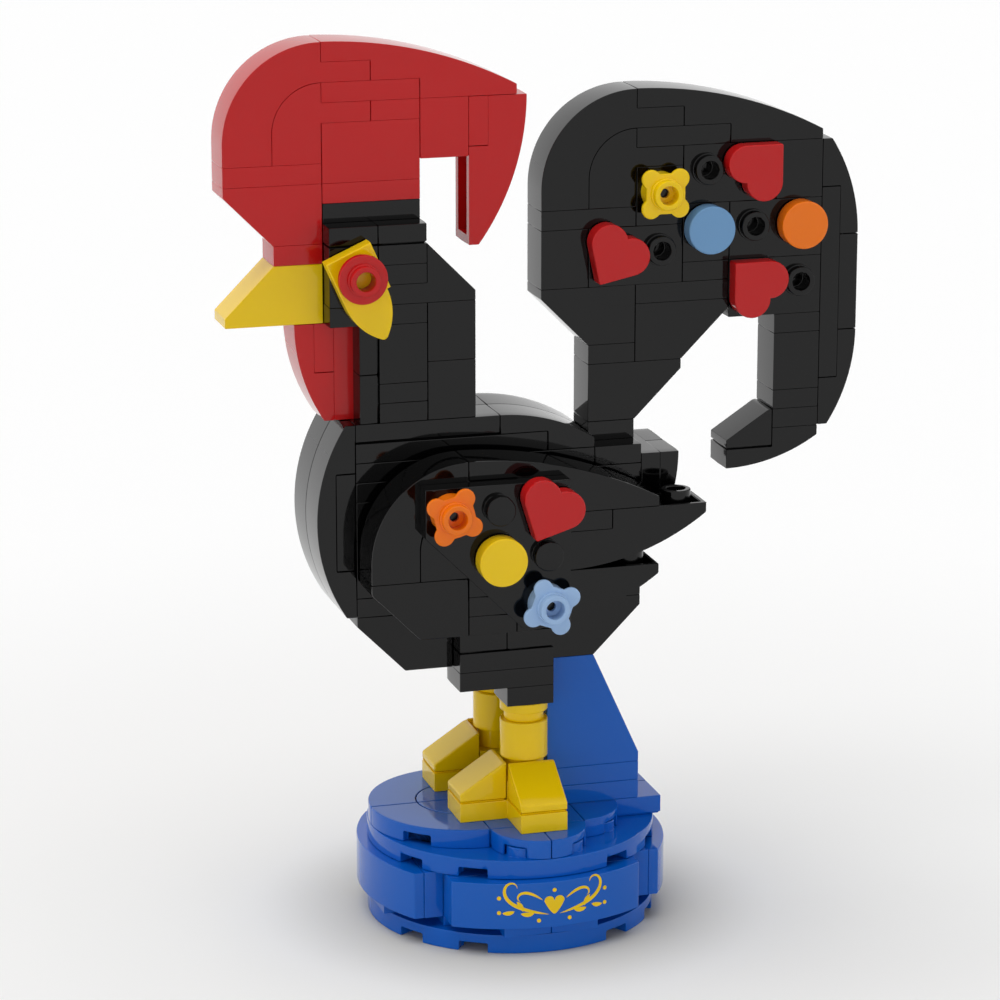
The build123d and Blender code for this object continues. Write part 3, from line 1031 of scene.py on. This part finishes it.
@dataclass
class Legs:
    """Round legs on square ankles, one on each side.

    The ankle has its limits, and each round piece the limits of its waist and of its full round, in plates.
    """

    place: float = 1.0
    ankle: tuple[float, float] = (7, 8)
    rounds: tuple[tuple[tuple[float, float], tuple[float, float]], ...] = (
        ((8, 9), (9, 11)),
        ((11, 11.5), (11.5, 12)),
    )
    waist_inset: float = 0.7 * MM
    sides: int = 64
    edge: float = 0.18 * MM
    ankle_edge: float = 0.11 * MM

    def column(self, waist: tuple[float, float], full: tuple[float, float]) -> Workpiece:
        """Round piece with a waist under a full round.

        Args:
            waist: Limits of the waist in plates.
            full: Limits of the full round in plates.

        Returns:
            The piece, on the Z axis.
        """
        slim = PITCH / 2 - self.waist_inset
        wide = PITCH / 2 - PLAY
        profile = [(0.0, waist[0] * PLATE)]
        for radius, limits in ((slim, waist), (wide, full)):
            profile += [(radius, height * PLATE) for height in limits]
        profile.append((0.0, full[1] * PLATE))
        work = Workpiece.turned(profile, self.sides)
        work.round_edges(self.edge, segments=3)
        return work

    def ankle_plate(self) -> Workpiece:
        """Square plate that the leg stands on.

        Returns:
            The plate, on the Z axis.
        """
        low, high = self.ankle
        width = PITCH - 2 * PLAY
        work = Workpiece.block((width, width, (high - low) * PLATE), (0, 0, (high + low) / 2 * PLATE))
        work.round_edges(self.ankle_edge)
        return work

    def build(self, palette: Palette) -> None:
        """Builds both legs as one piece.

        Args:
            palette: The plastics.
        """
        pieces = []
        for side in Side:
            leg = [self.ankle_plate(), *(self.column(*limits) for limits in self.rounds)]
            for piece in leg:
                piece.place(Matrix.Translation((0, side.value * self.place * PITCH, 0)))
            pieces += leg
        pieces[0].join(pieces[1:])
        palette.dress(pieces[0], "leg_columns_turned", Slot.YELLOW, ROOT_BODY, "leg_columns")


class Shape(Enum):
    """Kinds of ornament that press onto one stud."""

    DISC = "disc"
    HEART = "heart"
    FLOWER = "flower"
    LEAF = "leaf"
    RING = "ring"


@dataclass
class OrnamentShop:
    """Models one ornament of each shape, on a stud along Z with the wall at Z = 0."""

    radius: float = PITCH / 2 - PLAY
    socket: float = STUD_R + 0.05 * MM
    socket_top: float = STUD_H + SEAT_GAP
    foot_inset: float = 0.2 * MM
    foot_top: float = 0.45 * MM
    collar: float = COLLAR_R
    collar_height: float = COLLAR_H
    bore: float = 1.55 * MM
    foot: float = 2.95 * MM
    flange: float = 1.0 * MM
    rim: float = 0.25 * MM
    stud_rim: float = 0.16 * MM
    sides: int = 72
    socket_sides: int = 48
    heart_side: float = PITCH - 1.8 * MM
    heart_shift: float = 1.25 * MM
    heart_tip: float = 0.3 * MM
    tip_steps: int = 5
    lobe_steps: int = 24
    petal_reach: float = 3.4 * MM
    petal_radius: float = 1.6 * MM
    petal_blend: float = 0.35 * MM
    petal_height: float = 0.8 * MM
    flower_flat: float = 3.3 * MM
    flower_body: float = 3.25 * MM
    flower_floor: float = 2.5 * MM
    flower_hole: float = 0.77 * MM
    leaf_step: float = 0.6 * MM
    leaf_length: float = 7.5 * MM
    leaf_tip: float = 0.8 * MM
    leaf_rows: int = 48
    leaf_close: float = 0.5 * MM

    @property
    def top(self) -> float:
        """Height of a stud on an ornament's face."""
        return PLATE + STUD_H

    def under(self) -> list[tuple[float, float]]:
        """Profile of a round ornament's socket, foot and foot groove, from the socket outwards."""
        foot = self.radius - self.foot_inset
        return [
            (self.socket, self.socket_top), (self.socket, SEAT_GAP), (foot, SEAT_GAP),
            (foot, self.foot_top), (self.radius, self.foot_top),
        ]

    def stud_ring(self) -> list[tuple[float, float]]:
        """Profile of the collar and open stud on an ornament's face, inwards to the bore."""
        step = PLATE + self.collar_height
        return [
            (self.collar, PLATE), (self.collar, step), (STUD_R, step), (STUD_R, self.top),
            (self.bore, self.top),
        ]

    def disc(self) -> Workpiece:
        """Round tile with a smooth face.

        Returns:
            The tile.
        """
        profile = [(0.0, self.socket_top), *self.under(), (self.radius, PLATE), (0.0, PLATE)]
        work = Workpiece.turned(profile, self.sides)
        work.bevel_rim(lambda a, b: on_rim(a, b) and a.z > PLATE - WELD, self.rim)
        return work

    def ring(self) -> Workpiece:
        """Round plate with a thin flange over a narrower foot, and an open stud, bored through.

        Returns:
            The plate.
        """
        under = PLATE - self.flange
        profile = [
            (self.bore, self.socket_top), (self.socket, self.socket_top), (self.socket, SEAT_GAP),
            (self.foot, SEAT_GAP), (self.foot, under), (self.radius, under), (self.radius, PLATE),
            *self.stud_ring(),
        ]
        work = Workpiece.turned(profile, self.sides, closed=True)
        work.bevel_rim(self.is_upper_rim, self.stud_rim)
        return work

    def is_upper_rim(self, a: Vector, b: Vector) -> bool:
        """Whether an edge runs round the outside of the face, the collar or the stud, or round the bore.

        Args:
            a: One end of the edge.
            b: Its other end.

        Returns:
            True if it does.
        """
        step = PLATE + self.collar_height
        rims = ((self.radius, PLATE), (self.collar, step), (STUD_R, self.top), (self.bore, self.top))
        return on_rim(a, b) and any(
            abs(a.xy.length - radius) < SKIN and abs(a.z - height) < SKIN for radius, height in rims
        )

    def heart(self) -> Workpiece:
        """Heart whose notch points along Y: a square on its corner with a half round on each upper side.

        Returns:
            The heart.
        """
        half = self.heart_side / 2
        bpy.ops.object.select_all(action="DESELECT")
        bpy.ops.mesh.primitive_plane_add(size=self.heart_side, location=(0, 0, self.foot_top))
        work = Workpiece.fresh()
        right = (Vector((half, 0)), Vector((half, -half)), -math.pi)
        left = (Vector((0, half)), Vector((-half, half)), math.pi)
        with work.editing("EDGE"):
            work.select_edges(lambda a, b: min(a.x, b.x) > half - WELD)
            bpy.ops.mesh.subdivide(number_cuts=1)
            work.select_edges(lambda a, b: min(a.y, b.y) > half - WELD)
            bpy.ops.mesh.subdivide(number_cuts=1)
            for middle, outer, turn in (right, left):
                work.select_edges(lambda a, b, ends=(middle, outer): joins(a, b, ends))
                bpy.ops.mesh.spin(
                    steps=self.lobe_steps, angle=turn, center=(*middle, self.foot_top), axis=(0, 0, 1),
                    use_auto_merge=False,
                )
            work.weld()
            bpy.ops.mesh.dissolve_limited(angle_limit=OUTLINE_ANGLE)
        tip = Vector((-half, -half))
        with work.editing("VERT"):
            work.select_vertices(lambda place: (place.xy - tip).length < WELD)
            bpy.ops.mesh.bevel(offset=self.heart_tip, segments=self.tip_steps, affect="VERTICES")
        work.place(Matrix.Translation((0, -self.heart_shift, 0)) @ Matrix.Rotation(math.pi / 4, 4, "Z"))
        return self.plate(work)

    def plate(self, work: Workpiece) -> Workpiece:
        """Makes a flat outline a plate with a rounded face, a foot and a socket.

        Args:
            work: The outline, facing up at the height of the foot groove.

        Returns:
            The same workpiece.
        """
        work.thicken(PLATE - self.foot_top)
        foot = (0, 0, SEAT_GAP - self.foot_top)
        with work.editing("FACE"):
            work.select_faces(lambda middle, normal: normal.z < -ALIGNED)
            bpy.ops.mesh.inset(thickness=self.foot_inset, use_even_offset=True)
            bpy.ops.mesh.extrude_region_move(TRANSFORM_OT_translate={"value": foot})
        work.bevel_rim(lambda a, b: min(a.z, b.z) > PLATE - WELD, self.rim)
        work.cut(Workpiece.cylinder(self.socket, -PLATE, self.socket_top, self.socket_sides))
        return work

    def petal_outline(self, place: Vector) -> Vector:
        """Where a point of the flower's rim lies: on a flat between petals or on a petal.

        Args:
            place: Point on a circle about the flower's middle.

        Returns:
            The point moved in or out to the rim.
        """
        angle = math.atan2(place.y, place.x)
        quarter = math.tau / 4
        off = (angle + quarter / 2) % quarter - quarter / 2
        reach = self.flower_flat / math.cos(quarter / 2 - abs(off))
        across = self.petal_reach * math.sin(off)
        if abs(across) < self.petal_radius:
            tip = self.petal_reach * math.cos(off) + math.sqrt(self.petal_radius**2 - across**2)
            reach = soft_max(reach, tip, self.petal_blend)
        return Vector((reach * math.cos(angle), reach * math.sin(angle), place.z))

    def flower(self) -> Workpiece:
        """Four petals round an open stud with a stepped bore.

        Returns:
            The flower.
        """
        low = PLATE - self.petal_height
        inner = STUD_R + SKIN
        bpy.ops.object.select_all(action="DESELECT")
        bpy.ops.mesh.primitive_circle_add(vertices=2 * self.sides, radius=STUD_R, location=(0, 0, low))
        petals = Workpiece.fresh()
        with petals.editing("EDGE"):
            bpy.ops.mesh.select_all(action="SELECT")
            bpy.ops.mesh.extrude_edges_move()
            bpy.ops.transform.resize(value=(2, 2, 1))
        petals.move_vertices(lambda place: self.petal_outline(place) if place.xy.length > inner else place)
        with petals.editing("VERT"):
            bpy.ops.mesh.select_all(action="SELECT")
            bpy.ops.mesh.normals_make_consistent(inside=False)
        petals.face_up()
        petals.thicken(self.petal_height)
        petals.bevel_rim(
            lambda a, b: abs(a.z - b.z) < WELD and min(a.xy.length, b.xy.length) > inner, self.rim
        )
        face = PLATE - 2 * SKIN
        body = [
            (self.flower_hole, self.socket_top), (self.socket, self.socket_top), (self.socket, SEAT_GAP),
            (self.flower_body, SEAT_GAP), (self.flower_body, face), (self.collar, face),
            *self.stud_ring(), (self.bore, self.flower_floor), (self.flower_hole, self.flower_floor),
        ]
        middle = Workpiece.turned(body, self.sides, closed=True)
        middle.bevel_rim(self.is_upper_rim, self.stud_rim)
        middle.join([petals])
        return middle

    def leaf(self) -> Workpiece:
        """Leaf with a square half on its stud, a pointed half along Y, and a stud on its face.

        Returns:
            The leaf.
        """
        bpy.ops.object.select_all(action="DESELECT")
        bpy.ops.mesh.primitive_grid_add(
            x_subdivisions=1, y_subdivisions=self.leaf_rows, size=2 * PITCH, location=(0, 0, 0)
        )
        work = Workpiece.fresh()
        shift = Vector((0, PITCH / 2, self.foot_top))
        work.move_vertices(lambda place: self.leaf_outline(place) + shift)
        with work.editing("FACE"):
            bpy.ops.mesh.select_all(action="SELECT")
            bpy.ops.mesh.dissolve_limited(angle_limit=OUTLINE_ANGLE)
        work.face_up()
        work = self.plate(work)
        stud = Stud(collar=0.0).plain()
        stud.place(Matrix.Translation((0, 0, PLATE)))
        work.join([stud])
        return work

    def leaf_outline(self, place: Vector) -> Vector:
        """Draws a point of a strip in to the leaf's edge.

        Args:
            place: Point of a strip one stud wide and two long, with its middle at Y = 0.

        Returns:
            The point, drawn in along X on the pointed half.
        """
        half = PITCH / 2 - PLAY
        if place.y < -WELD:
            # The row closest to the pointed half stands right at the step between the halves.
            along = place.y if place.y < -self.leaf_close else -SKIN
            return Vector((math.copysign(half, place.x), along, 0))
        waist = half - self.leaf_step / 2
        bend = (waist**2 + self.leaf_length**2) / (2 * waist)
        round_at = math.sqrt((bend - self.leaf_tip) ** 2 - (bend - waist) ** 2)
        along = (round_at + self.leaf_tip) * math.sin(math.pi / 2 * place.y / PITCH)
        if along < round_at * bend / (bend - self.leaf_tip):
            width = waist - bend + math.sqrt(bend**2 - along**2)
        else:
            width = math.sqrt(max(0.0, self.leaf_tip**2 - (along - round_at) ** 2))
        return Vector((half - waist + math.copysign(width, place.x), along, 0))

    def make(self, shape: Shape) -> Workpiece:
        """Models one ornament.

        Args:
            shape: Its kind.

        Returns:
            The ornament, on its stud at the origin.
        """
        makers = {
            Shape.DISC: self.disc, Shape.HEART: self.heart, Shape.FLOWER: self.flower,
            Shape.LEAF: self.leaf, Shape.RING: self.ring,
        }
        return makers[shape]()


@dataclass(frozen=True)
class Ornament:
    """One ornament of each side: shape, colour and how far it is turned on its stud, in degrees."""

    name: str
    shape: Shape
    slot: Slot
    turn: float = 0.0


@dataclass
class Ornaments:
    """All turning ornaments of both sides, each on its own body."""

    pieces: tuple[Ornament, ...] = (
        Ornament("tail_yellow_flower", Shape.FLOWER, Slot.YELLOW, 45),
        Ornament("tail_sky_disc", Shape.DISC, Slot.SKY),
        Ornament("tail_orange_disc", Shape.DISC, Slot.ORANGE),
        Ornament("tail_upper_heart", Shape.HEART, Slot.RED, 135),
        Ornament("tail_front_heart", Shape.HEART, Slot.RED, -33),
        Ornament("tail_lower_heart", Shape.HEART, Slot.RED, 225),
        Ornament("wing_orange_flower", Shape.FLOWER, Slot.ORANGE, 60),
        Ornament("wing_sky_flower", Shape.FLOWER, Slot.PALE_BLUE, 25),
        Ornament("wing_yellow_disc", Shape.DISC, Slot.YELLOW),
        Ornament("wing_heart", Shape.HEART, Slot.RED, -28),
        Ornament("eye_leaf", Shape.LEAF, Slot.YELLOW, 204),
        Ornament("eye_ring", Shape.RING, Slot.RED),
    )
    shop: OrnamentShop = field(default_factory=OrnamentShop)

    def build(self, palette: Palette) -> None:
        """Builds every ornament from one pattern of each shape.

        Args:
            palette: The plastics.
        """
        patterns = {shape: self.shop.make(shape) for shape in Shape}
        hinges = {joint["child"]: joint for joint in frame["joints"]}
        for piece in self.pieces:
            for side in Side:
                node = f"{piece.name}_{side.suffix}"
                hinge = hinges[node]
                work = patterns[piece.shape].copy()
                work.place(Matrix.Rotation(math.radians(piece.turn), 4, "Z"))
                work.place(facing(Vector(hinge["axis"]), Vector(hinge["pos_m"])))
                palette.dress(work, f"{node}_moulded", piece.slot, node, node)
        for pattern in patterns.values():
            bpy.data.objects.remove(pattern.obj)


@dataclass(frozen=True)
class Scroll:
    """Strip of the panel's ornament that tapers at both ends and bends more and more along its way.

    It starts at a place across and up from the panel's middle, with a heading in degrees up from outwards.
    Its bends are its turns to the left at its start and at its end, in radians per mm, and its width is
    half of the greatest one.
    """

    start: tuple[float, float]
    heading: float
    bends: tuple[float, float]
    length: float
    width: float


@dataclass
class PanelOrnament:
    """Thin raised ornament on the base's front panel: a heart between two scrolls with leaves and dots.

    It is drawn flat, across and up from the panel's middle, and then bent round the panel. Scrolls and dots
    are those of one half, and the other half mirrors them.
    """

    panel_radius: float = 29.07 * MM
    panel_axis: float = 3.47 * MM
    middle: float = 8.75 * MM
    sunk: float = 0.03 * MM
    raised: float = 0.05 * MM
    heart_width: float = 3.4 * MM
    heart_height: float = 3.1 * MM
    heart_belly: float = 1.5
    heart_steps: int = 32
    dot_radius: float = 0.34 * MM
    dot_steps: int = 14
    top_dot: float = 2.55 * MM
    dots: Places = ((2.6 * MM, -2.5 * MM), (9.1 * MM, -1.0 * MM), (9.1 * MM, 1.5 * MM))
    scrolls: tuple[Scroll, ...] = (
        Scroll((0.9 * MM, -1.55 * MM), 12, (0.02, 1.5), 12.5 * MM, 0.3 * MM),
        Scroll((2.0 * MM, 1.0 * MM), 38, (-0.1, -2.4), 5.6 * MM, 0.24 * MM),
        Scroll((3.4 * MM, -1.2 * MM), -20, (0.35, 0.1), 2.2 * MM, 0.38 * MM),
        Scroll((5.2 * MM, -0.8 * MM), 75, (-0.3, -0.1), 2.0 * MM, 0.36 * MM),
        Scroll((6.6 * MM, -0.75 * MM), -28, (0.35, 0.1), 2.0 * MM, 0.36 * MM),
    )
    scroll_steps: int = 48
    bend_growth: int = 3
    taper: float = 0.7

    def build(self, palette: Palette) -> bpy.types.Object:
        """Models the ornament and dresses it.

        Args:
            palette: The plastics.

        Returns:
            The finished object.
        """
        work = self.heart()
        parts = [self.dot(0.0, self.top_dot)]
        for side in (-1, 1):
            parts += [self.strip(side, scroll) for scroll in self.scrolls]
            parts += [self.dot(side * across, up) for across, up in self.dots]
        work.join(parts)
        work.move_vertices(self.bent)
        return palette.dress(work, "panel_ornament", Slot.YELLOW, ROOT_BODY)

    def bent(self, place: Vector) -> Vector:
        """Puts a point of the flat drawing on the panel.

        Args:
            place: The point, with its height over the drawing along Z.

        Returns:
            The point on the panel.
        """
        angle = place.x / self.panel_radius
        reach = self.panel_radius + place.z
        depth = self.panel_axis - reach * math.cos(angle)
        return Vector((reach * math.sin(angle), depth, self.middle + place.y))

    def ribbon(self, edges: Callable[[float], tuple[Vector, Vector]], steps: int) -> Workpiece:
        """Models a thin flat strip between two edges.

        Args:
            edges: Gives the strip's two edges, as points in the flat, at a share of its length.
            steps: Number of faces along it.

        Returns:
            The strip.
        """
        bpy.ops.object.select_all(action="DESELECT")
        bpy.ops.mesh.primitive_grid_add(x_subdivisions=steps, y_subdivisions=1, size=2)
        work = Workpiece.fresh()

        def drawn(place: Vector) -> Vector:
            """Puts a point of the grid on an edge of the strip.

            Args:
                place: The point, from -1 to 1 along the strip.

            Returns:
                The point in the flat.
            """
            low, high = edges((place.x + 1) / 2)
            edge = low if place.y < 0 else high
            return Vector((edge.x, edge.y, -self.sunk))

        work.move_vertices(drawn)
        with work.editing("VERT"):
            work.weld()
        work.face_up()
        work.thicken(self.sunk + self.raised)
        return work

    def heart(self) -> Workpiece:
        """Heart in the middle of the panel.

        Returns:
            The heart.
        """
        half = self.heart_width / 2
        lobe = half / 2

        def edges(share: float) -> tuple[Vector, Vector]:
            """Lower and upper edge of the heart.

            Args:
                share: Share of the way across it.

            Returns:
                A point on each edge.
            """
            across = -half * math.cos(math.pi * share)
            in_lobe = max(0.0, lobe**2 - (abs(across) - lobe) ** 2)
            top = self.heart_height / 2 - lobe + math.sqrt(in_lobe)
            slack = (abs(across) / half) ** self.heart_belly
            bottom = -self.heart_height / 2 + slack * (self.heart_height - lobe)
            return Vector((across, min(bottom, top), 0)), Vector((across, top, 0))

        return self.ribbon(edges, self.heart_steps)

    def dot(self, across: float, up: float) -> Workpiece:
        """Round dot.

        Args:
            across: Place of its middle across the panel.
            up: Place of its middle up the panel.

        Returns:
            The dot.
        """
        middle = Vector((across, up, 0))

        def edges(share: float) -> tuple[Vector, Vector]:
            """Lower and upper edge of the dot.

            Args:
                share: Share of the half turn round it.

            Returns:
                A point on each edge.
            """
            turn = math.pi * share
            point = self.dot_radius * Vector((-math.cos(turn), math.sin(turn), 0))
            return middle + Vector((point.x, -point.y, 0)), middle + point

        return self.ribbon(edges, self.dot_steps)

    def strip(self, side: int, scroll: Scroll) -> Workpiece:
        """Models a scroll or a leaf.

        Args:
            side: -1 to mirror it, 1 to leave it as it is drawn.
            scroll: How it runs.

        Returns:
            The strip.
        """
        steps = self.scroll_steps
        step = scroll.length / steps
        first, last = scroll.bends
        points = [Vector((*scroll.start, 0))]
        turns = [math.radians(scroll.heading)]
        for index in range(steps):
            share = (index + 0.5) / steps
            bend = first + (last - first) * share**self.bend_growth
            points.append(points[-1] + step * Vector((math.cos(turns[-1]), math.sin(turns[-1]), 0)))
            turns.append(turns[-1] + bend * step / MM)

        def edges(share: float) -> tuple[Vector, Vector]:
            """Right and left edge of the strip.

            Args:
                share: Share of the way along it.

            Returns:
                A point on each edge.
            """
            index = round(share * steps)
            width = scroll.width * math.sin(math.pi * share) ** self.taper if 0 < share < 1 else 0.0
            across = width * Vector((-math.sin(turns[index]), math.cos(turns[index]), 0))
            low, high = points[index] - across, points[index] + across
            return Vector((side * low.x, low.y, 0)), Vector((side * high.x, high.y, 0))

        return self.ribbon(edges, steps)


@dataclass
class Studio:
    """Floor, white but for a painted shadow round the base, white surroundings, a broad key light from above
    and the camera.

    Near the bird the floor's colour holds a painted shadow: grey shades, warm closest to the base, each at a
    distance from the middle of the base.
    """

    camera_at: tuple[float, float, float] = (-0.1742165, -0.5893092, 0.2349295)
    azimuth: float = -16.3166
    elevation: float = 15.0264
    lens: float = 139.7767
    sensor: float = 36.0
    clip: tuple[float, float] = (0.01, 100)
    floor_size: float = 12.0
    floor_bounce: float = 0.62
    # Painted shadow: floor colours by distance from the base, grey and warm close to it, in place of the
    # bird's contact shadow.
    floor_shades: tuple[tuple[float, tuple[float, float, float]], ...] = (
        (0.02, (0.67, 0.648, 0.58)), (0.045, (0.9, 0.898, 0.892)), (0.26, (1.0, 1.0, 1.0)),
    )
    horizon: float = 2.3
    fade: float = 3.0
    key_power: float = 2.42
    key_spread: float = 67.0
    key_from: tuple[float, float, float] = (-0.16, 0.0, 1.0)

    def build(self) -> None:
        """Sets up the studio."""
        self.build_floor()
        self.build_dome()
        self.build_key()
        self.build_camera()
        bpy.context.scene.view_settings.view_transform = "Standard"

    def build_floor(self) -> None:
        """Floor that shows its colour with a painted shadow to the camera and gives less light back to the
        bird.
        """
        bpy.ops.object.select_all(action="DESELECT")
        bpy.ops.mesh.primitive_plane_add(size=self.floor_size, location=(0, 0, 0))
        floor = bpy.context.object
        floor.name = "floor"
        material = bpy.data.materials.new("floor_white")
        material.use_nodes = True
        nodes = material.node_tree.nodes
        nodes.remove(nodes["Principled BSDF"])
        wiring = Wiring(material.node_tree)
        bounce = (self.floor_bounce, self.floor_bounce, self.floor_bounce, 1)
        seen = wiring.add("ShaderNodeBsdfDiffuse", {"Color": self.floor_colour(wiring)})
        felt = wiring.add("ShaderNodeBsdfDiffuse", {"Color": bounce})
        self.show(wiring, seen, felt, nodes["Material Output"])
        floor.data.materials.append(material)

    def floor_colour(self, wiring: Wiring) -> bpy.types.NodeSocket:
        """Colour of the floor: a painted shadow, grey and warm close to the base, white farther off.

        Args:
            wiring: The floor's node tree.

        Returns:
            The socket with the colour.
        """
        reach = self.floor_shades[-1][0]
        place = wiring.add("ShaderNodeTexCoord").outputs["Object"]
        away = wiring.add("ShaderNodeVectorMath", {0: place})
        away.operation = "LENGTH"
        share = wiring.compute("DIVIDE", away.outputs["Value"], reach)
        # The painted shadow: a ramp of floor colours by distance from the base.
        painted_shadow_ramp = wiring.add("ShaderNodeValToRGB", {"Fac": share})
        painted_shadow_ramp.color_ramp.interpolation = "EASE"
        stops = painted_shadow_ramp.color_ramp.elements
        stops.remove(stops[1])
        for index, (distance, colour) in enumerate(self.floor_shades):
            stop = stops.new(distance / reach) if index else stops[0]
            stop.position = distance / reach
            stop.color = (*colour, 1)
        return painted_shadow_ramp.outputs["Color"]

    @staticmethod
    def show(wiring: Wiring, seen: bpy.types.Node, felt: bpy.types.Node, output: bpy.types.Node) -> None:
        """Uses one shader for what the camera sees and another for the light that the bird gets.

        Args:
            wiring: The node tree.
            seen: Shader that is seen directly, in a reflection or through glass.
            felt: Shader for all other light.
            output: The tree's output.
        """
        path = wiring.add("ShaderNodeLightPath").outputs
        total = path["Is Camera Ray"]
        for name in ("Is Glossy Ray", "Is Transmission Ray"):
            total = wiring.compute("MAXIMUM", total, path[name])
        mix = wiring.add("ShaderNodeMixShader", {"Fac": total, 1: felt.outputs[0], 2: seen.outputs[0]})
        wiring.feed(output, {"Surface": mix.outputs[0]})

    def build_dome(self) -> None:
        """White surroundings that give light from low down, and leave the height to the key light."""
        world = bpy.data.worlds.new("dome")
        bpy.context.scene.world = world
        world.use_nodes = True
        nodes = world.node_tree.nodes
        wiring = Wiring(world.node_tree)
        place = wiring.add("ShaderNodeTexCoord").outputs["Generated"]
        height = wiring.add("ShaderNodeSeparateXYZ", {0: place}).outputs["Z"]
        low = wiring.compute("SUBTRACT", 1.0, height, clamp=True)
        glow = wiring.compute("MULTIPLY", wiring.compute("POWER", low, self.fade), self.horizon)
        felt = wiring.add("ShaderNodeBackground", {"Color": WHITE, "Strength": glow})
        seen = nodes["Background"]
        wiring.feed(seen, {"Color": WHITE})
        self.show(wiring, seen, felt, nodes["World Output"])

    def build_key(self) -> None:
        """Broad soft light from above, a little from the beak's side."""
        lamp = bpy.data.lights.new("key", "SUN")
        lamp.energy = self.key_power
        lamp.angle = math.radians(self.key_spread)
        obj = bpy.data.objects.new("key", lamp)
        obj.rotation_euler = (-Vector(self.key_from)).to_track_quat("-Z", "Y").to_euler()
        obj.visible_glossy = False
        bpy.context.scene.collection.objects.link(obj)

    def build_camera(self) -> None:
        """Long lens, a little above the bird and before its beak."""
        data = bpy.data.cameras.new("camera")
        data.lens = self.lens
        data.sensor_width = self.sensor
        data.clip_start, data.clip_end = self.clip
        camera = bpy.data.objects.new("camera", data)
        camera.location = self.camera_at
        camera.rotation_euler = (math.radians(90 - self.elevation), 0, math.radians(self.azimuth))
        bpy.context.scene.collection.objects.link(camera)
        bpy.context.scene.camera = camera


def main() -> None:
    """Builds the bird and its studio."""
    logging.basicConfig(level=logging.INFO, format="%(name)s %(message)s")
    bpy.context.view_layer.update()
    palette = Palette()
    Bird().build(palette)
    Legs().build(palette)
    Ornaments().build(palette)
    PanelOrnament().build(palette)
    Studio().build()


if __name__ == "__main__":
    main()
